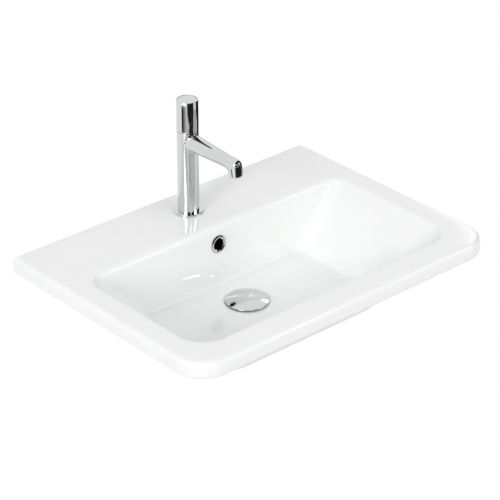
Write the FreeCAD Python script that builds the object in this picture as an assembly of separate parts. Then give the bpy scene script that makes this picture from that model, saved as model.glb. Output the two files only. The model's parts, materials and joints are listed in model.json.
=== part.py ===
import FreeCAD
import Part
import math
import os
from FreeCAD import Vector

# A rectangular vanity washbasin with its mixer tap, overflow ring and push-open waste.
# Millimetres. The origin is on the wall, midway between the two wall bolts, with +X to the
# right and +Y into the wall. Depths are measured down from the rim, heights up from it.

# Slab of the basin
basin_width = 600.0
basin_depth = 441.0
slab_height = 26.0
slab_thickness = 14.0
foot_width = 16.0
front_corner_radius = 50.0
back_corner_radius = 7.0
top_edge_radius = 8.5
bottom_edge = 3.0
rim_above_bolts = 85.0

# Bowl: the rim left round its opening, and how far its walls come in down to the floor
rim_side_width = 42.0
rim_front_width = 49.5
opening_back = 132.5
side_wall_run = 95.0
front_wall_run = 55.5
back_wall_run = 8.0
floor_depth = 100.0
floor_slope = 0.03
opening_edge_radius = 11.0
bowl_front_corner_radius = 40.0
bowl_back_corner_radius = 24.0
bowl_floor_radius = 12.0
bowl_wall = 11.0
bowl_under_radius = 18.0

# Waste outlet in the ceramic
waste_from_wall = 203.0
waste_hole_radius = 23.0
dish_radius = 46.0
dish_below_floor = 2.5
dish_fall = 2.5
flange_recess_radius = 32.5
flange_recess_below_dish = 6.0
waste_boss_radius = 40.0
waste_boss_length = 29.5

# Overflow in the ceramic
overflow_depth = 31.0
overflow_hole_radius = 12.0
overflow_duct_width = 36.0
overflow_duct_room = 12.0
overflow_duct_top = 18.0
overflow_passage_height = 9.0
overflow_wall = 9.0
overflow_bulge_radius = 6.0

# Wall apron and its webs
apron_width = 380.0
apron_thickness = 14.0
apron_depth = 118.0
apron_corner_radius = 24.0
web_thickness = 12.0
web_front_depth = 78.0
bolt_spacing = 280.0
bolt_hole_radius = 7.0

# Waste fitting, with heights from the flange's top
flange_radius = 31.5
flange_thickness = 2.5
flange_edge = 1.2
flange_mouth_radius = 20.6
flange_mouth_depth = 5.0
waste_thread_radius = 20.955
waste_bore_radius = 18.4
waste_length = 92.0
waste_slot_width = 13.0
trap_thread_length = 32.0
thread_relief_width = 3.0
thread_relief_depth = 1.2
waste_seal_thickness = 1.5
waste_seal_inner_radius = 23.5
waste_under_seal_height = 7.0
waste_under_seal_radius = 33.0
waste_under_seal_lip_radius = 27.0
waste_under_seal_band = 3.0
waste_washer_thickness = 2.0
waste_washer_radius = 31.0
waste_nut_flats = 50.0
waste_nut_height = 9.0
cross_top = 27.0
cross_height = 8.0
cross_arm = 4.0
cross_hub_radius = 9.5
thread_clearance = 0.1

# Push-open plug
plug_radius = 35.0
plug_rise = 4.7
plug_edge = 1.8
plug_gap = 1.2
plug_rim_width = 2.5
plug_core_radius = 18.6
plug_core_depth = 3.0
plug_boss_radius = 7.0
plug_boss_depth = 8.0
plug_lift = 9.0
plug_seal_width = 4.4
plug_seal_gap = 0.3
plug_stem_radius = 3.0
plug_stem_hold = 5.0
plug_stem_guide = 9.0
plug_stem_clearance = 0.1
click_barrel_radius = 7.0
click_barrel_length = 36.0
click_collar_radius = 8.6
click_collar_height = 3.0
click_bore_depth = 33.0
click_spring_radius = 2.3
click_spring_wire = 0.6
click_spring_turns = 4

# Overflow ring, with heights from the face of the bowl's wall
ring_radius = 15.0
ring_bore_radius = 9.4
ring_crest_width = 1.6
ring_height = 3.0
ring_edge_height = 1.2
ring_sleeve_radius = 11.7
ring_sleeve_length = 12.0

# Tap column and spout, with heights from the deck
tap_from_wall = 63.7
tap_hole_radius = 17.5
column_radius = 17.2
column_top = 141.5
base_ring_radius = 23.6
base_ring_height = 3.4
base_ring_lift = 0.3
base_ring_edge = 0.9
base_seal_inner_radius = 18.6
base_seal_outer_radius = 22.4
base_seal_height = 1.6
spout_below_top = 17.5
spout_reach = 114.0
spout_droop = 2.0
outlet_below_root = 18.0
nose_lean = 9.0
spout_root_radius = 14.0
spout_tip_radius = 9.9
nose_radius = 11.3
bend_inner_radius = 8.0
bend_outer_radius = 9.0
bend_steps = 6
spout_root_blend = 3.0
waterway_radius = 4.5

# Aerator in the nose, with heights from the outlet
aerator_bore_radius = 9.0
aerator_bore_depth = 8.0
aerator_lip_radius = 10.4
aerator_lip = 1.2
aerator_clearance = 0.05
aerator_wall = 1.3
aerator_insert_height = 4.5
aerator_insert_sink = 0.8
aerator_cell = 1.8
aerator_bar = 0.7
aerator_seal_thickness = 1.2

# Cartridge in the column
cartridge_bore_radius = 14.0
cartridge_clearance = 0.1
cartridge_base_height = 5.0
port_radius = 3.0
port_offset = 6.0
port_seal_thickness = 1.0
port_seal_width = 1.1
housing_height = 37.0
housing_wall = 1.7
housing_roof = 4.0
housing_neck_radius = 9.5
housing_neck_height = 18.0
chamber_start = 17.0
chamber_height = 18.0
chamber_depth = 0.8
window_width = 8.0
window_start = 21.0
window_height = 10.0
disc_clearance = 0.35
disc_thickness = 4.5
disc_gap = 0.05
disc_mouth_inner_radius = 2.5
disc_mouth_outer_radius = 6.1
lock_ring_height = 8.0
lock_ring_sink = 1.5
lock_ring_slot_width = 4.0
lock_ring_slot_depth = 3.0

# Spindle, with heights from its lower end, and the valve that slides in it
spindle_flange_height = 2.0
spindle_cup_radius = 9.5
spindle_cup_height = 17.0
spindle_throat_radius = 6.2
spindle_ledge = 3.0
spindle_cavity_radius = 7.9
spindle_cavity_top = 14.0
spindle_window_width = 5.0
spindle_window_start = 8.6
spindle_window_height = 3.4
spindle_radius = 4.5
spindle_clearance = 0.1
valve_clearance = 0.1
valve_height = 4.4
valve_pin_hold = 3.3
valve_passages = 4
valve_passage_radius = 1.0
valve_passage_offset = 4.8
button_travel = 3.0
button_spring_radius = 7.0
button_spring_wire = 0.8
button_spring_turns = 2
button_spring_pressed = 2.0

# Temperature knob and push button
knob_radius = 17.3
knob_height = 51.9
knob_gap = 0.6
knob_wall = 2.3
knob_edge = 0.7
knob_web_height = 4.0
knob_web_below_top = 34.0
knob_boss_radius = 8.5
knob_boss_length = 16.0
knob_boss_start = 12.0
glide_ring_width = 1.6
glide_ring_inset = 0.4
glide_ring_height = 0.5
grub_screw_radius = 2.0
grub_screw_length = 3.8
grub_screw_start = 3.0
grub_screw_socket_radius = 1.0
grub_screw_socket_depth = 2.0
grub_access_clearance = 0.2
mark_radius = 1.3
mark_height = 5.0
mark_depth = 0.6
mark_angle = 34.0
button_gap = 0.25
button_sink = 0.3
button_edge = 0.5
button_top_thickness = 2.4
button_skirt = 12.0
button_skirt_wall = 1.6
button_boss_radius = 4.0
button_boss_length = 9.0
button_pin_radius = 1.5
button_pin_hold = 5.0
button_pin_clearance = 0.1

# Shank, its clamping parts and the supply inlets, with heights from the deck
shank_radius = 14.0
shank_bore_radius = 12.0
shank_hold = 24.0
shank_below_deck = 52.0
core_floor = 42.0
inlet_radius = 5.6
inlet_length = 22.0
inlet_thread_radius = 4.5
inlet_thread_depth = 16.0
inlet_spigot_radius = 4.0
inlet_spigot_length = 5.0
clamp_pad_radius = 23.0
clamp_pad_thickness = 3.0
clamp_washer_thickness = 1.6
clamp_nut_flats = 36.0
clamp_nut_height = 9.0

# How far a cut runs past what it cuts, and how near counts as touching
overrun = 5.0
closeness = 0.01

# Places worked out from the sizes
up = Vector(0, 0, 1)
rim = rim_above_bolts
opening_length = basin_width - 2 * rim_side_width
opening_front = basin_depth - rim_front_width
floor_back = opening_back + back_wall_run
dish_depth = floor_depth + dish_below_floor
flange_recess_depth = dish_depth + flange_recess_below_dish
waste_boss_depth = flange_recess_depth + waste_boss_length
deck = Vector(0, -tap_from_wall, rim)
outlet = Vector(0, -waste_from_wall, rim)
flange_top = Vector(0, -waste_from_wall, rim - flange_recess_depth + waste_seal_thickness + flange_thickness)
boss_end = rim - waste_boss_depth - flange_top.z
passage_floor = rim - waste_boss_depth + overflow_wall
passage_top = passage_floor + overflow_passage_height
plug_under = plug_gap + plug_edge
stem_top = plug_under - plug_boss_depth + plug_stem_hold
stem_end = click_collar_height - cross_top - plug_stem_guide - plug_lift
spout_height = column_top - spout_below_top
outlet_height = spout_height - outlet_below_root
cartridge_top = column_top - lock_ring_sink - lock_ring_height
cartridge_seat_height = cartridge_top - housing_height - cartridge_base_height
housing_bore_radius = cartridge_bore_radius - cartridge_clearance - housing_wall
disc_radius = housing_bore_radius - disc_clearance
spindle_base = cartridge_seat_height + cartridge_base_height + 2 * disc_thickness + disc_gap
valve_start = spindle_ledge + button_spring_pressed + button_travel
knob_base = column_top + knob_gap
knob_top = knob_base + knob_height
hub_low = knob_base + knob_boss_start
hub_top = hub_low + knob_boss_length
spindle_length = hub_top - spindle_base
button_radius = knob_radius - knob_wall - button_gap
button_top = knob_top - button_sink


def line_to(start, end):
    return Part.LineSegment(start, end).toShape()


def revolve(outline, centre):
    """A full turn of a closed outline about the upright line through centre. An entry of two
    numbers is the next radius and height, and one of four adds a middle point for an arc."""
    def point(radius, height):
        return Vector(centre.x + radius, centre.y, centre.z + height)

    edges = []
    last = point(*outline[-1][-2:])
    for entry in outline:
        end = point(*entry[-2:])
        if len(entry) == 4:
            edges.append(Part.Arc(last, point(*entry[:2]), end).toShape())
        else:
            edges.append(line_to(last, end))
        last = end
    return Part.Face(Part.Wire(edges)).revolve(centre, up, 360)


def disc(radius, low, high, centre):
    """An upright cylinder between two heights."""
    return Part.makeCylinder(radius, high - low, centre + up * low)


def tube(outer, inner, low, high, centre):
    """An upright tube between two heights."""
    return disc(outer, low, high, centre).cut(disc(inner, low, high, centre))


def block(x_low, x_high, y_low, y_high, z_low, z_high):
    corner = Vector(x_low, y_low, z_low)
    return Part.makeBox(x_high - x_low, y_high - y_low, z_high - z_low, corner)


def hexagon(flats, low, high, centre):
    """An upright hexagonal prism, measured across its flats."""
    reach = flats / math.sqrt(3)
    corners = []
    for side in range(7):
        angle = math.radians(60 * side)
        corners.append(centre + Vector(reach * math.cos(angle), reach * math.sin(angle), low))
    return Part.Face(Part.makePolygon(corners)).extrude(up * (high - low))


def spring(radius, wire, turns, low, high, centre):
    """A coil of square wire that fills the height between its two seats."""
    half = wire / 2
    rise = high - low - wire
    coil = Part.makeHelix(rise / turns, rise, radius)
    coil.translate(centre + up * (low + half))
    start = centre + Vector(radius, 0, low + half)
    corners = []
    for x, z in ((-half, -half), (half, -half), (half, half), (-half, half), (-half, -half)):
        corners.append(start + Vector(x, 0, z))
    return Part.Wire(coil).makePipeShell([Part.makePolygon(corners)], True, True)


def edges_at(shape, z):
    """The edges that lie wholly at one height."""
    found = []
    for edge in shape.Edges:
        if abs(edge.BoundBox.ZMin - z) < closeness and abs(edge.BoundBox.ZMax - z) < closeness:
            found.append(edge)
    return found


def rounded_plate(half, front, back, front_radius, back_radius, low, high):
    """A plate with one radius on its front corners and another on its back corners."""
    plate = block(-half, half, front, back, low, high)
    middle = (front + back) / 2
    for radius, at_front in ((front_radius, True), (back_radius, False)):
        corners = []
        for edge in plate.Edges:
            straight = edge.Curve.TypeId == "Part::GeomLine"
            at_corner = straight and edge.BoundBox.XLength + edge.BoundBox.YLength < closeness
            if at_corner and abs(abs(edge.CenterOfMass.x) - half) < closeness:
                if (edge.CenterOfMass.y < middle) == at_front:
                    corners.append(edge)
        plate = plate.makeFillet(radius, corners)
    return plate


def slab():
    """The rim and deck, hollow below, with a flat foot all round."""
    half = basin_width / 2
    low = rim - slab_height
    plate = rounded_plate(half, -basin_depth, 0, front_corner_radius, back_corner_radius, low, rim)
    plate = plate.makeFillet(top_edge_radius, edges_at(plate, rim))
    plate = plate.makeChamfer(bottom_edge, edges_at(plate, low))
    inner_front_radius = front_corner_radius - foot_width
    front = foot_width - basin_depth
    high = rim - slab_thickness
    hollow = rounded_plate(
        half - foot_width, front, -foot_width, inner_front_radius, back_corner_radius, low - overrun, high
    )
    return plate.cut(hollow)


def bowl_corners(depth, grow):
    """The four corners of the bowl's walls at a depth, moved out by a wall's thickness."""
    side_run = side_wall_run / floor_depth
    back_run = back_wall_run / floor_depth
    front_run = front_wall_run / floor_depth
    half = opening_length / 2 - side_run * depth + grow * math.hypot(1, side_run)
    back = -opening_back - back_run * depth + grow * math.hypot(1, back_run)
    front = -opening_front + front_run * depth - grow * math.hypot(1, front_run)
    z = rim - depth
    return [Vector(-half, front, z), Vector(half, front, z), Vector(half, back, z), Vector(-half, back, z)]


def bowl_form(top_depth, bottom_depth, grow):
    """The form inside the bowl's sloping walls, with its four corners rounded."""
    top = bowl_corners(top_depth, grow)
    bottom = bowl_corners(bottom_depth, grow)
    outlines = [top, bottom]
    for i in range(4):
        j = (i + 1) % 4
        outlines.append([top[i], top[j], bottom[j], bottom[i]])
    faces = [Part.Face(Part.makePolygon(points + points[:1])) for points in outlines]
    form = Part.makeSolid(Part.makeShell(faces))
    front_radius = bowl_front_corner_radius + grow
    form = form.makeFillet(front_radius, bowl_corner_edges(form, bottom[0].z, bottom[0].y))
    back_radius = bowl_back_corner_radius + grow
    return form.makeFillet(back_radius, bowl_corner_edges(form, bottom[0].z, bottom[2].y))


def bowl_corner_edges(form, low, y):
    """The two sloping corner edges that start at the lower face, at a place in depth."""
    found = []
    for edge in form.Edges:
        for vertex in edge.Vertexes:
            starts_low = abs(vertex.Z - low) < closeness and abs(vertex.Y - y) < closeness
            if starts_low and edge.BoundBox.ZLength > floor_depth / 2:
                found.append(edge)
    return found


def bowl_void():
    """What is taken out to leave the bowl, whose floor falls gently to the waste. The seam of the
    ground under it is turned to the back, clear of the bowl's corners."""
    form = bowl_form(-overrun, waste_boss_depth, 0)
    rise = floor_slope * (basin_width - dish_radius)
    dish_floor = -dish_depth - dish_fall
    outline = [
        (0, -waste_boss_depth - overrun),
        (0, dish_floor),
        (flange_recess_radius, dish_floor),
        (dish_radius, -dish_depth),
        (basin_width, rise - dish_depth),
        (basin_width, -waste_boss_depth - overrun),
    ]
    ground = revolve(outline, outlet)
    ground.rotate(outlet, up, 90)
    void = form.cut(ground)
    floor_edges = []
    for edge in void.Edges:
        nearest = min(math.hypot(end.X, end.Y - outlet.y) for end in edge.Vertexes)
        away = nearest > dish_radius + closeness
        if away and edge.BoundBox.ZMax < rim - floor_depth / 2:
            floor_edges.append(edge)
    return void.makeFillet(bowl_floor_radius, floor_edges)


def bowl_outside():
    lower = dish_depth + bowl_wall
    form = bowl_form(slab_thickness / 2, lower, bowl_wall)
    return form.makeFillet(bowl_under_radius, edges_at(form, rim - lower))


def overflow_back():
    """How far from the wall the overflow's outside stands."""
    return -opening_back + overflow_duct_room + 2 * overflow_wall


def overflow_bulge():
    """The ceramic round the overflow duct, down behind the bowl and under it to the outlet."""
    half = overflow_duct_width / 2 + overflow_wall
    low = rim - waste_boss_depth
    back = overflow_back()
    upright = block(-half, half, -floor_back, back, low, rim - slab_thickness / 2)
    foot = block(-half, half, outlet.y, back, low, rim - floor_depth)
    bulge = upright.fuse(foot).removeSplitter()
    corners = [edge for edge in bulge.Edges if abs(edge.CenterOfMass.y - back) < closeness]
    corners = [edge for edge in corners if abs(edge.CenterOfMass.x) > half / 2]
    return bulge.makeFillet(overflow_bulge_radius, corners)


def overflow_duct():
    half = overflow_duct_width / 2
    back = overflow_back() - overflow_wall
    front = back - overflow_duct_room
    duct = block(-half, half, front, back, passage_floor, rim - overflow_duct_top)
    return duct.fuse(block(-half / 2, half / 2, outlet.y, back, passage_floor, passage_top))


def on_overflow(shape):
    """Stands a shape that rises along +Z on the bowl's back wall, where the overflow is."""
    run = back_wall_run / floor_depth
    centre = Vector(0, -opening_back - run * overflow_depth, rim - overflow_depth)
    turn = FreeCAD.Rotation(Vector(1, 0, 0), 90 - math.degrees(math.atan(run)))
    shape.Placement = FreeCAD.Placement(centre, turn)
    return shape


def apron():
    """The upright plate that hangs on the wall, with a web to the bowl near each end."""
    half = apron_width / 2
    low = rim - apron_depth
    high = rim - slab_thickness / 2
    plate = block(-half, half, -apron_thickness, 0, low, high)
    corners = []
    for edge in edges_at(plate, low):
        if abs(abs(edge.CenterOfMass.x) - half) < closeness:
            corners.append(edge)
    plate = plate.makeFillet(apron_corner_radius, corners)
    inside = -apron_thickness / 2
    for x in (-half, half - web_thickness):
        outline = [
            Vector(x, inside, high),
            Vector(x, -opening_back, high),
            Vector(x, -opening_back, rim - web_front_depth),
            Vector(x, inside, low + apron_corner_radius),
        ]
        web = Part.Face(Part.makePolygon(outline + outline[:1])).extrude(Vector(web_thickness, 0, 0))
        plate = plate.fuse(web)
    return plate


def opening_edges(body):
    """The edges round the bowl's opening at the rim."""
    half = opening_length / 2 + closeness
    found = []
    for edge in edges_at(body, rim):
        across = max(abs(edge.BoundBox.XMin), abs(edge.BoundBox.XMax)) < half
        front = edge.BoundBox.YMin > -opening_front - closeness
        back = edge.BoundBox.YMax < -opening_back + closeness
        if across and front and back:
            found.append(edge)
    return found


def basin():
    boss = disc(waste_boss_radius, -waste_boss_depth, -floor_depth, outlet)
    body = slab().fuse([bowl_outside(), apron(), overflow_bulge(), boss]).removeSplitter()
    body = body.cut(bowl_void())
    body = body.makeFillet(opening_edge_radius, opening_edges(body))
    body = body.cut(disc(flange_recess_radius, -flange_recess_depth, overrun - dish_depth, outlet))
    body = body.cut(disc(waste_hole_radius, -waste_boss_depth - overrun, -dish_depth, outlet))
    body = body.cut(disc(tap_hole_radius, -slab_height, overrun, deck))
    body = body.cut(overflow_duct())
    deep = overflow_wall + overflow_duct_room
    body = body.cut(on_overflow(Part.makeCylinder(overflow_hole_radius, 2 * deep, up * -deep)))
    for x in (-bolt_spacing / 2, bolt_spacing / 2):
        start = Vector(x, overrun, 0)
        length = apron_thickness + 2 * overrun
        body = body.cut(Part.makeCylinder(bolt_hole_radius, length, start, Vector(0, -1, 0)))
    return body


def waste_body():
    """The flange and its threaded tail, with overflow slots and a cross that holds the barrel.
    A groove parts the thread for the nut from the thread for the trap."""
    relief = trap_thread_length + thread_relief_width - waste_length
    outline = [
        (waste_bore_radius, -waste_length),
        (waste_thread_radius, -waste_length),
        (waste_thread_radius, relief - thread_relief_width),
        (waste_thread_radius - thread_relief_depth, relief - thread_relief_width),
        (waste_thread_radius - thread_relief_depth, relief),
        (waste_thread_radius, relief),
        (waste_thread_radius, -flange_thickness),
        (flange_radius, -flange_thickness),
        (flange_radius, -flange_edge),
        (flange_radius - flange_edge, 0),
        (flange_mouth_radius, 0),
        (waste_bore_radius, -flange_mouth_depth),
    ]
    body = revolve(outline, flange_top)
    reach = waste_thread_radius + overrun
    half = waste_slot_width / 2
    y = flange_top.y
    body = body.cut(block(-reach, reach, y - half, y + half, passage_floor, passage_top))
    body = body.cut(block(-half, half, y - reach, y + reach, passage_floor, passage_top))
    top = flange_top.z - cross_top
    low = top - cross_height
    arm = cross_arm / 2
    reach = (waste_bore_radius + waste_thread_radius) / 2
    body = body.fuse(block(-reach, reach, y - arm, y + arm, low, top))
    body = body.fuse(block(-arm, arm, y - reach, y + reach, low, top))
    body = body.fuse(disc(cross_hub_radius, -cross_top - cross_height, -cross_top, flange_top))
    hole = click_barrel_radius + thread_clearance
    return body.cut(disc(hole, -cross_top - cross_height - overrun, overrun - cross_top, flange_top))


def waste_top_seal():
    under = -flange_thickness
    low = under - waste_seal_thickness
    return tube(flange_radius, waste_seal_inner_radius, low, under, flange_top)


def waste_bottom_seal():
    """The tapered rubber that closes the outlet from below."""
    inner = waste_thread_radius + thread_clearance
    low = boss_end - waste_under_seal_height
    outline = [
        (inner, low),
        (waste_under_seal_radius, low),
        (waste_under_seal_radius, low + waste_under_seal_band),
        (waste_under_seal_lip_radius, boss_end),
        (inner, boss_end),
    ]
    return revolve(outline, flange_top)


def waste_washer():
    high = boss_end - waste_under_seal_height
    inner = waste_thread_radius + thread_clearance
    return tube(waste_washer_radius, inner, high - waste_washer_thickness, high, flange_top)


def waste_nut():
    high = boss_end - waste_under_seal_height - waste_washer_thickness
    low = high - waste_nut_height
    nut = hexagon(waste_nut_flats, low, high, flange_top)
    return nut.cut(disc(waste_thread_radius + thread_clearance, low - overrun, high + overrun, flange_top))


def click_barrel():
    """The push-open mechanism's barrel, which hangs in the cross by its collar."""
    top = click_collar_height - cross_top
    low = -cross_top - click_barrel_length
    bore = plug_stem_radius + plug_stem_clearance
    outline = [
        (0, low),
        (click_barrel_radius, low),
        (click_barrel_radius, -cross_top),
        (click_collar_radius, -cross_top),
        (click_collar_radius, top),
        (bore, top),
        (bore, top - click_bore_depth),
        (0, top - click_bore_depth),
    ]
    return revolve(outline, flange_top)


def click_spring():
    floor = click_collar_height - cross_top - click_bore_depth
    return spring(click_spring_radius, click_spring_wire, click_spring_turns, floor, stem_end, flange_top)


def plug_cover():
    """The domed cover, with the core that carries its seal and the boss for its stem."""
    sphere = (plug_radius ** 2 + plug_rise ** 2) / 2 / plug_rise
    halfway = plug_radius / 2
    halfway_height = plug_under + math.sqrt(sphere ** 2 - halfway ** 2) - sphere + plug_rise
    boss_low = plug_under - plug_boss_depth
    core_low = plug_under - plug_core_depth
    outline = [
        (plug_stem_radius, boss_low),
        (plug_boss_radius, boss_low),
        (plug_boss_radius, core_low),
        (plug_core_radius, core_low),
        (plug_core_radius, plug_under),
        (plug_radius - plug_rim_width, plug_under),
        (plug_radius - plug_rim_width, plug_gap),
        (plug_radius, plug_gap),
        (plug_radius, plug_under),
        (halfway, halfway_height, 0, plug_under + plug_rise),
        (0, stem_top),
        (plug_stem_radius, stem_top),
    ]
    return revolve(outline, flange_top)


def plug_seal():
    return tube(plug_core_radius + plug_seal_width, plug_core_radius, plug_seal_gap, plug_under, flange_top)


def plug_stem():
    return disc(plug_stem_radius, stem_end, stem_top, flange_top)


def overflow_ring():
    """The rolled ring, with the sleeve that grips the hole in the bowl's wall."""
    crest = (ring_radius + ring_bore_radius) / 2
    outline = [
        (ring_bore_radius, -ring_sleeve_length),
        (ring_sleeve_radius, -ring_sleeve_length),
        (ring_sleeve_radius, 0),
        (ring_radius, 0),
        (ring_radius, ring_edge_height),
        (crest + ring_crest_width / 2, ring_height),
        (crest - ring_crest_width / 2, ring_height),
        (ring_bore_radius, ring_edge_height),
    ]
    return on_overflow(revolve(outline, Vector(0, 0, 0)))


def base_seal():
    return tube(base_seal_outer_radius, base_seal_inner_radius, 0, base_seal_height, deck)


def base_ring():
    """The flat ring under the column, recessed below for its seal."""
    hole = shank_radius + 2 * thread_clearance
    outline = [
        (hole, base_ring_lift),
        (base_seal_inner_radius, base_ring_lift),
        (base_seal_inner_radius, base_seal_height),
        (base_seal_outer_radius, base_seal_height),
        (base_seal_outer_radius, base_ring_lift),
        (base_ring_radius, base_ring_lift),
        (base_ring_radius, base_ring_height - base_ring_edge),
        (base_ring_radius - base_ring_edge, base_ring_height),
        (hole, base_ring_height),
    ]
    return revolve(outline, deck)


def spout_frame():
    """The directions of spout and nose, and the pivot of the bend between them."""
    fall = math.atan(spout_droop / spout_reach)
    lean = math.radians(nose_lean)
    along = Vector(0, -math.cos(fall), -math.sin(fall))
    under = Vector(0, math.sin(fall), -math.cos(fall))
    down = Vector(0, -math.sin(lean), -math.cos(lean))
    behind = Vector(0, math.cos(lean), -math.sin(lean))
    root = deck + up * spout_height
    end = deck + Vector(0, -spout_reach, outlet_height)
    to_nose = behind * (nose_radius + bend_inner_radius)
    to_tip = under * (spout_tip_radius + bend_inner_radius)
    straight = (end + to_nose - to_tip - root).dot(under) / down.dot(under)
    pivot = end + to_nose - down * straight
    return along, under, down, behind, root, end, pivot


def bend_reach(angle, sweep):
    """How far the bend's outside stands from its pivot, in a direction across the bend."""
    tip = bend_inner_radius + 2 * spout_tip_radius
    nose = bend_inner_radius + 2 * nose_radius
    corner_across = (nose - tip * math.cos(sweep)) / math.sin(sweep)
    start = (tip - bend_outer_radius)
    inset = bend_outer_radius * math.tan(sweep / 2)
    if tip * math.tan(angle) < corner_across - inset:
        return tip / math.cos(angle)
    corner_back = (tip - nose * math.cos(sweep)) / math.sin(sweep)
    if nose * math.tan(sweep - angle) < corner_back - inset:
        return nose / math.cos(sweep - angle)
    centre_across = corner_across - inset
    ahead = start * math.cos(angle) + centre_across * math.sin(angle)
    aside = start * math.sin(angle) - centre_across * math.cos(angle)
    return ahead + math.sqrt(bend_outer_radius ** 2 - aside ** 2)


def oval(centre, outwards, half_height, half_width):
    """An upright section of the spout: a circle, or an oval where it is taller than wide."""
    facing = outwards.cross(Vector(1, 0, 0))
    if half_height > half_width + closeness:
        curve = Part.Ellipse(centre + outwards * half_height, centre + Vector(half_width, 0, 0), centre)
    else:
        curve = Part.Circle(centre, facing, half_width)
        curve.XAxis = outwards
    return Part.Wire(curve.toShape())


def spout():
    """The tapered spout, its bend, squarer outside than inside, and the short nose."""
    along, under, down, behind, root, end, pivot = spout_frame()
    sweep = math.acos(along.dot(down))
    sections = []
    for step in range(bend_steps + 1):
        angle = sweep * step / bend_steps
        outwards = under * -math.cos(angle) + along * math.sin(angle)
        reach = bend_reach(angle, sweep)
        centre = pivot + outwards * ((reach + bend_inner_radius) / 2)
        half_width = spout_tip_radius + (nose_radius - spout_tip_radius) * step / bend_steps
        sections.append(oval(centre, outwards, (reach - bend_inner_radius) / 2, half_width))
    first = oval(root, under * -1, spout_root_radius, spout_root_radius)
    last = oval(end, behind * -1, nose_radius, nose_radius)
    taper = Part.makeLoft([first, sections[0]], True, True)
    bend = Part.makeLoft(sections, True, False)
    nose = Part.makeLoft([sections[-1], last], True, True)
    return taper, bend, nose


def on_nose(shape):
    """Stands a shape that rises along +Z in the nose, from its outlet upwards."""
    end = deck + Vector(0, -spout_reach, outlet_height)
    shape.Placement = FreeCAD.Placement(end, FreeCAD.Rotation(Vector(1, 0, 0), -nose_lean))
    return shape


def waterway():
    """The bore through the spout to the nose."""
    along, under, down, behind, root, end, pivot = spout_frame()
    start = root + along * (cartridge_bore_radius - overrun / 2)
    meet = root + along * ((end - root).dot(behind) / along.dot(behind))
    way = Part.makeCylinder(waterway_radius, (meet - start).Length, start, along)
    way = way.fuse(Part.makeSphere(waterway_radius, meet))
    return way.fuse(Part.makeCylinder(waterway_radius, (end - meet).Length, end, down * -1))


def tap_body():
    """Column and spout in one casting, bored for the cartridge, water, shank and aerator."""
    column = disc(column_radius, base_ring_height, column_top, deck)
    taper, bend, nose = spout()
    body = column.fuse(taper)
    root = [edge for edge in body.Edges if edge.Curve.TypeId == "Part::GeomBSplineCurve"]
    body = body.makeFillet(spout_root_blend, root)
    body = body.fuse([bend, nose])
    body = body.cut(disc(cartridge_bore_radius, cartridge_seat_height, column_top + overrun, deck))
    thread = shank_radius + thread_clearance
    body = body.cut(disc(thread, 0, core_floor, deck))
    for x in (-port_offset, port_offset):
        place = deck + Vector(x, 0, 0)
        body = body.cut(disc(port_radius, core_floor - overrun, cartridge_seat_height + overrun, place))
        spigot = core_floor + inlet_spigot_length
        body = body.cut(disc(inlet_spigot_radius, core_floor - overrun, spigot, place))
    body = body.cut(waterway())
    low = up * -overrun
    bore = Part.makeCylinder(aerator_bore_radius, aerator_bore_depth + overrun, low)
    return body.cut(on_nose(bore))


def tap_shank():
    high = base_ring_height + shank_hold
    return tube(shank_radius, shank_bore_radius, -shank_below_deck, high, deck)


def clamp_pad():
    high = -slab_thickness
    inner = shank_radius + thread_clearance
    return tube(clamp_pad_radius, inner, high - clamp_pad_thickness, high, deck)


def clamp_washer():
    high = -slab_thickness - clamp_pad_thickness
    inner = shank_radius + thread_clearance
    return tube(clamp_pad_radius, inner, high - clamp_washer_thickness, high, deck)


def clamp_nut():
    high = -slab_thickness - clamp_pad_thickness - clamp_washer_thickness
    low = high - clamp_nut_height
    nut = hexagon(clamp_nut_flats, low, high, deck)
    return nut.cut(disc(shank_radius + thread_clearance, low - overrun, high + overrun, deck))


def inlet(x):
    """A threaded socket for a supply hose, whose spigot sits in the column's core."""
    low = core_floor - inlet_length
    outline = [
        (inlet_thread_radius, low),
        (inlet_radius, low),
        (inlet_radius, core_floor),
        (inlet_spigot_radius, core_floor),
        (inlet_spigot_radius, core_floor + inlet_spigot_length),
        (port_radius, core_floor + inlet_spigot_length),
        (port_radius, low + inlet_thread_depth),
        (inlet_thread_radius, low + inlet_thread_depth),
    ]
    return revolve(outline, deck + Vector(x, 0, 0))


def hot_inlet():
    return inlet(-port_offset)


def cold_inlet():
    return inlet(port_offset)


def port_seals():
    outer = port_radius + port_seal_width
    high = cartridge_seat_height + port_seal_thickness
    seals = []
    for x in (-port_offset, port_offset):
        seals.append(tube(outer, port_radius, cartridge_seat_height, high, deck + Vector(x, 0, 0)))
    return Part.makeCompound(seals)


def cartridge_base():
    high = cartridge_seat_height + cartridge_base_height
    body = disc(cartridge_bore_radius - cartridge_clearance, cartridge_seat_height, high, deck)
    groove = port_radius + port_seal_width
    for x in (-port_offset, port_offset):
        place = deck + Vector(x, 0, 0)
        body = body.cut(disc(port_radius, cartridge_seat_height - overrun, high + overrun, place))
        groove_top = cartridge_seat_height + port_seal_thickness
        body = body.cut(disc(groove, cartridge_seat_height - overrun, groove_top, place))
    return body


def cartridge_housing():
    """The cartridge's shell, waisted where the mixed water leaves it through windows."""
    low = cartridge_seat_height + cartridge_base_height
    outer = cartridge_bore_radius - cartridge_clearance
    waist = outer - chamber_depth
    bore = spindle_radius + spindle_clearance
    outline = [
        (housing_bore_radius, low),
        (outer, low),
        (outer, low + chamber_start),
        (waist, low + chamber_start),
        (waist, low + chamber_start + chamber_height),
        (outer, low + chamber_start + chamber_height),
        (outer, cartridge_top),
        (housing_neck_radius, cartridge_top),
        (housing_neck_radius, cartridge_top + housing_neck_height),
        (bore, cartridge_top + housing_neck_height),
        (bore, cartridge_top - housing_roof),
        (housing_bore_radius, cartridge_top - housing_roof),
    ]
    body = revolve(outline, deck)
    window = low + window_start
    return body.cut(four_windows(window_width, window, window + window_height, outer))


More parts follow.
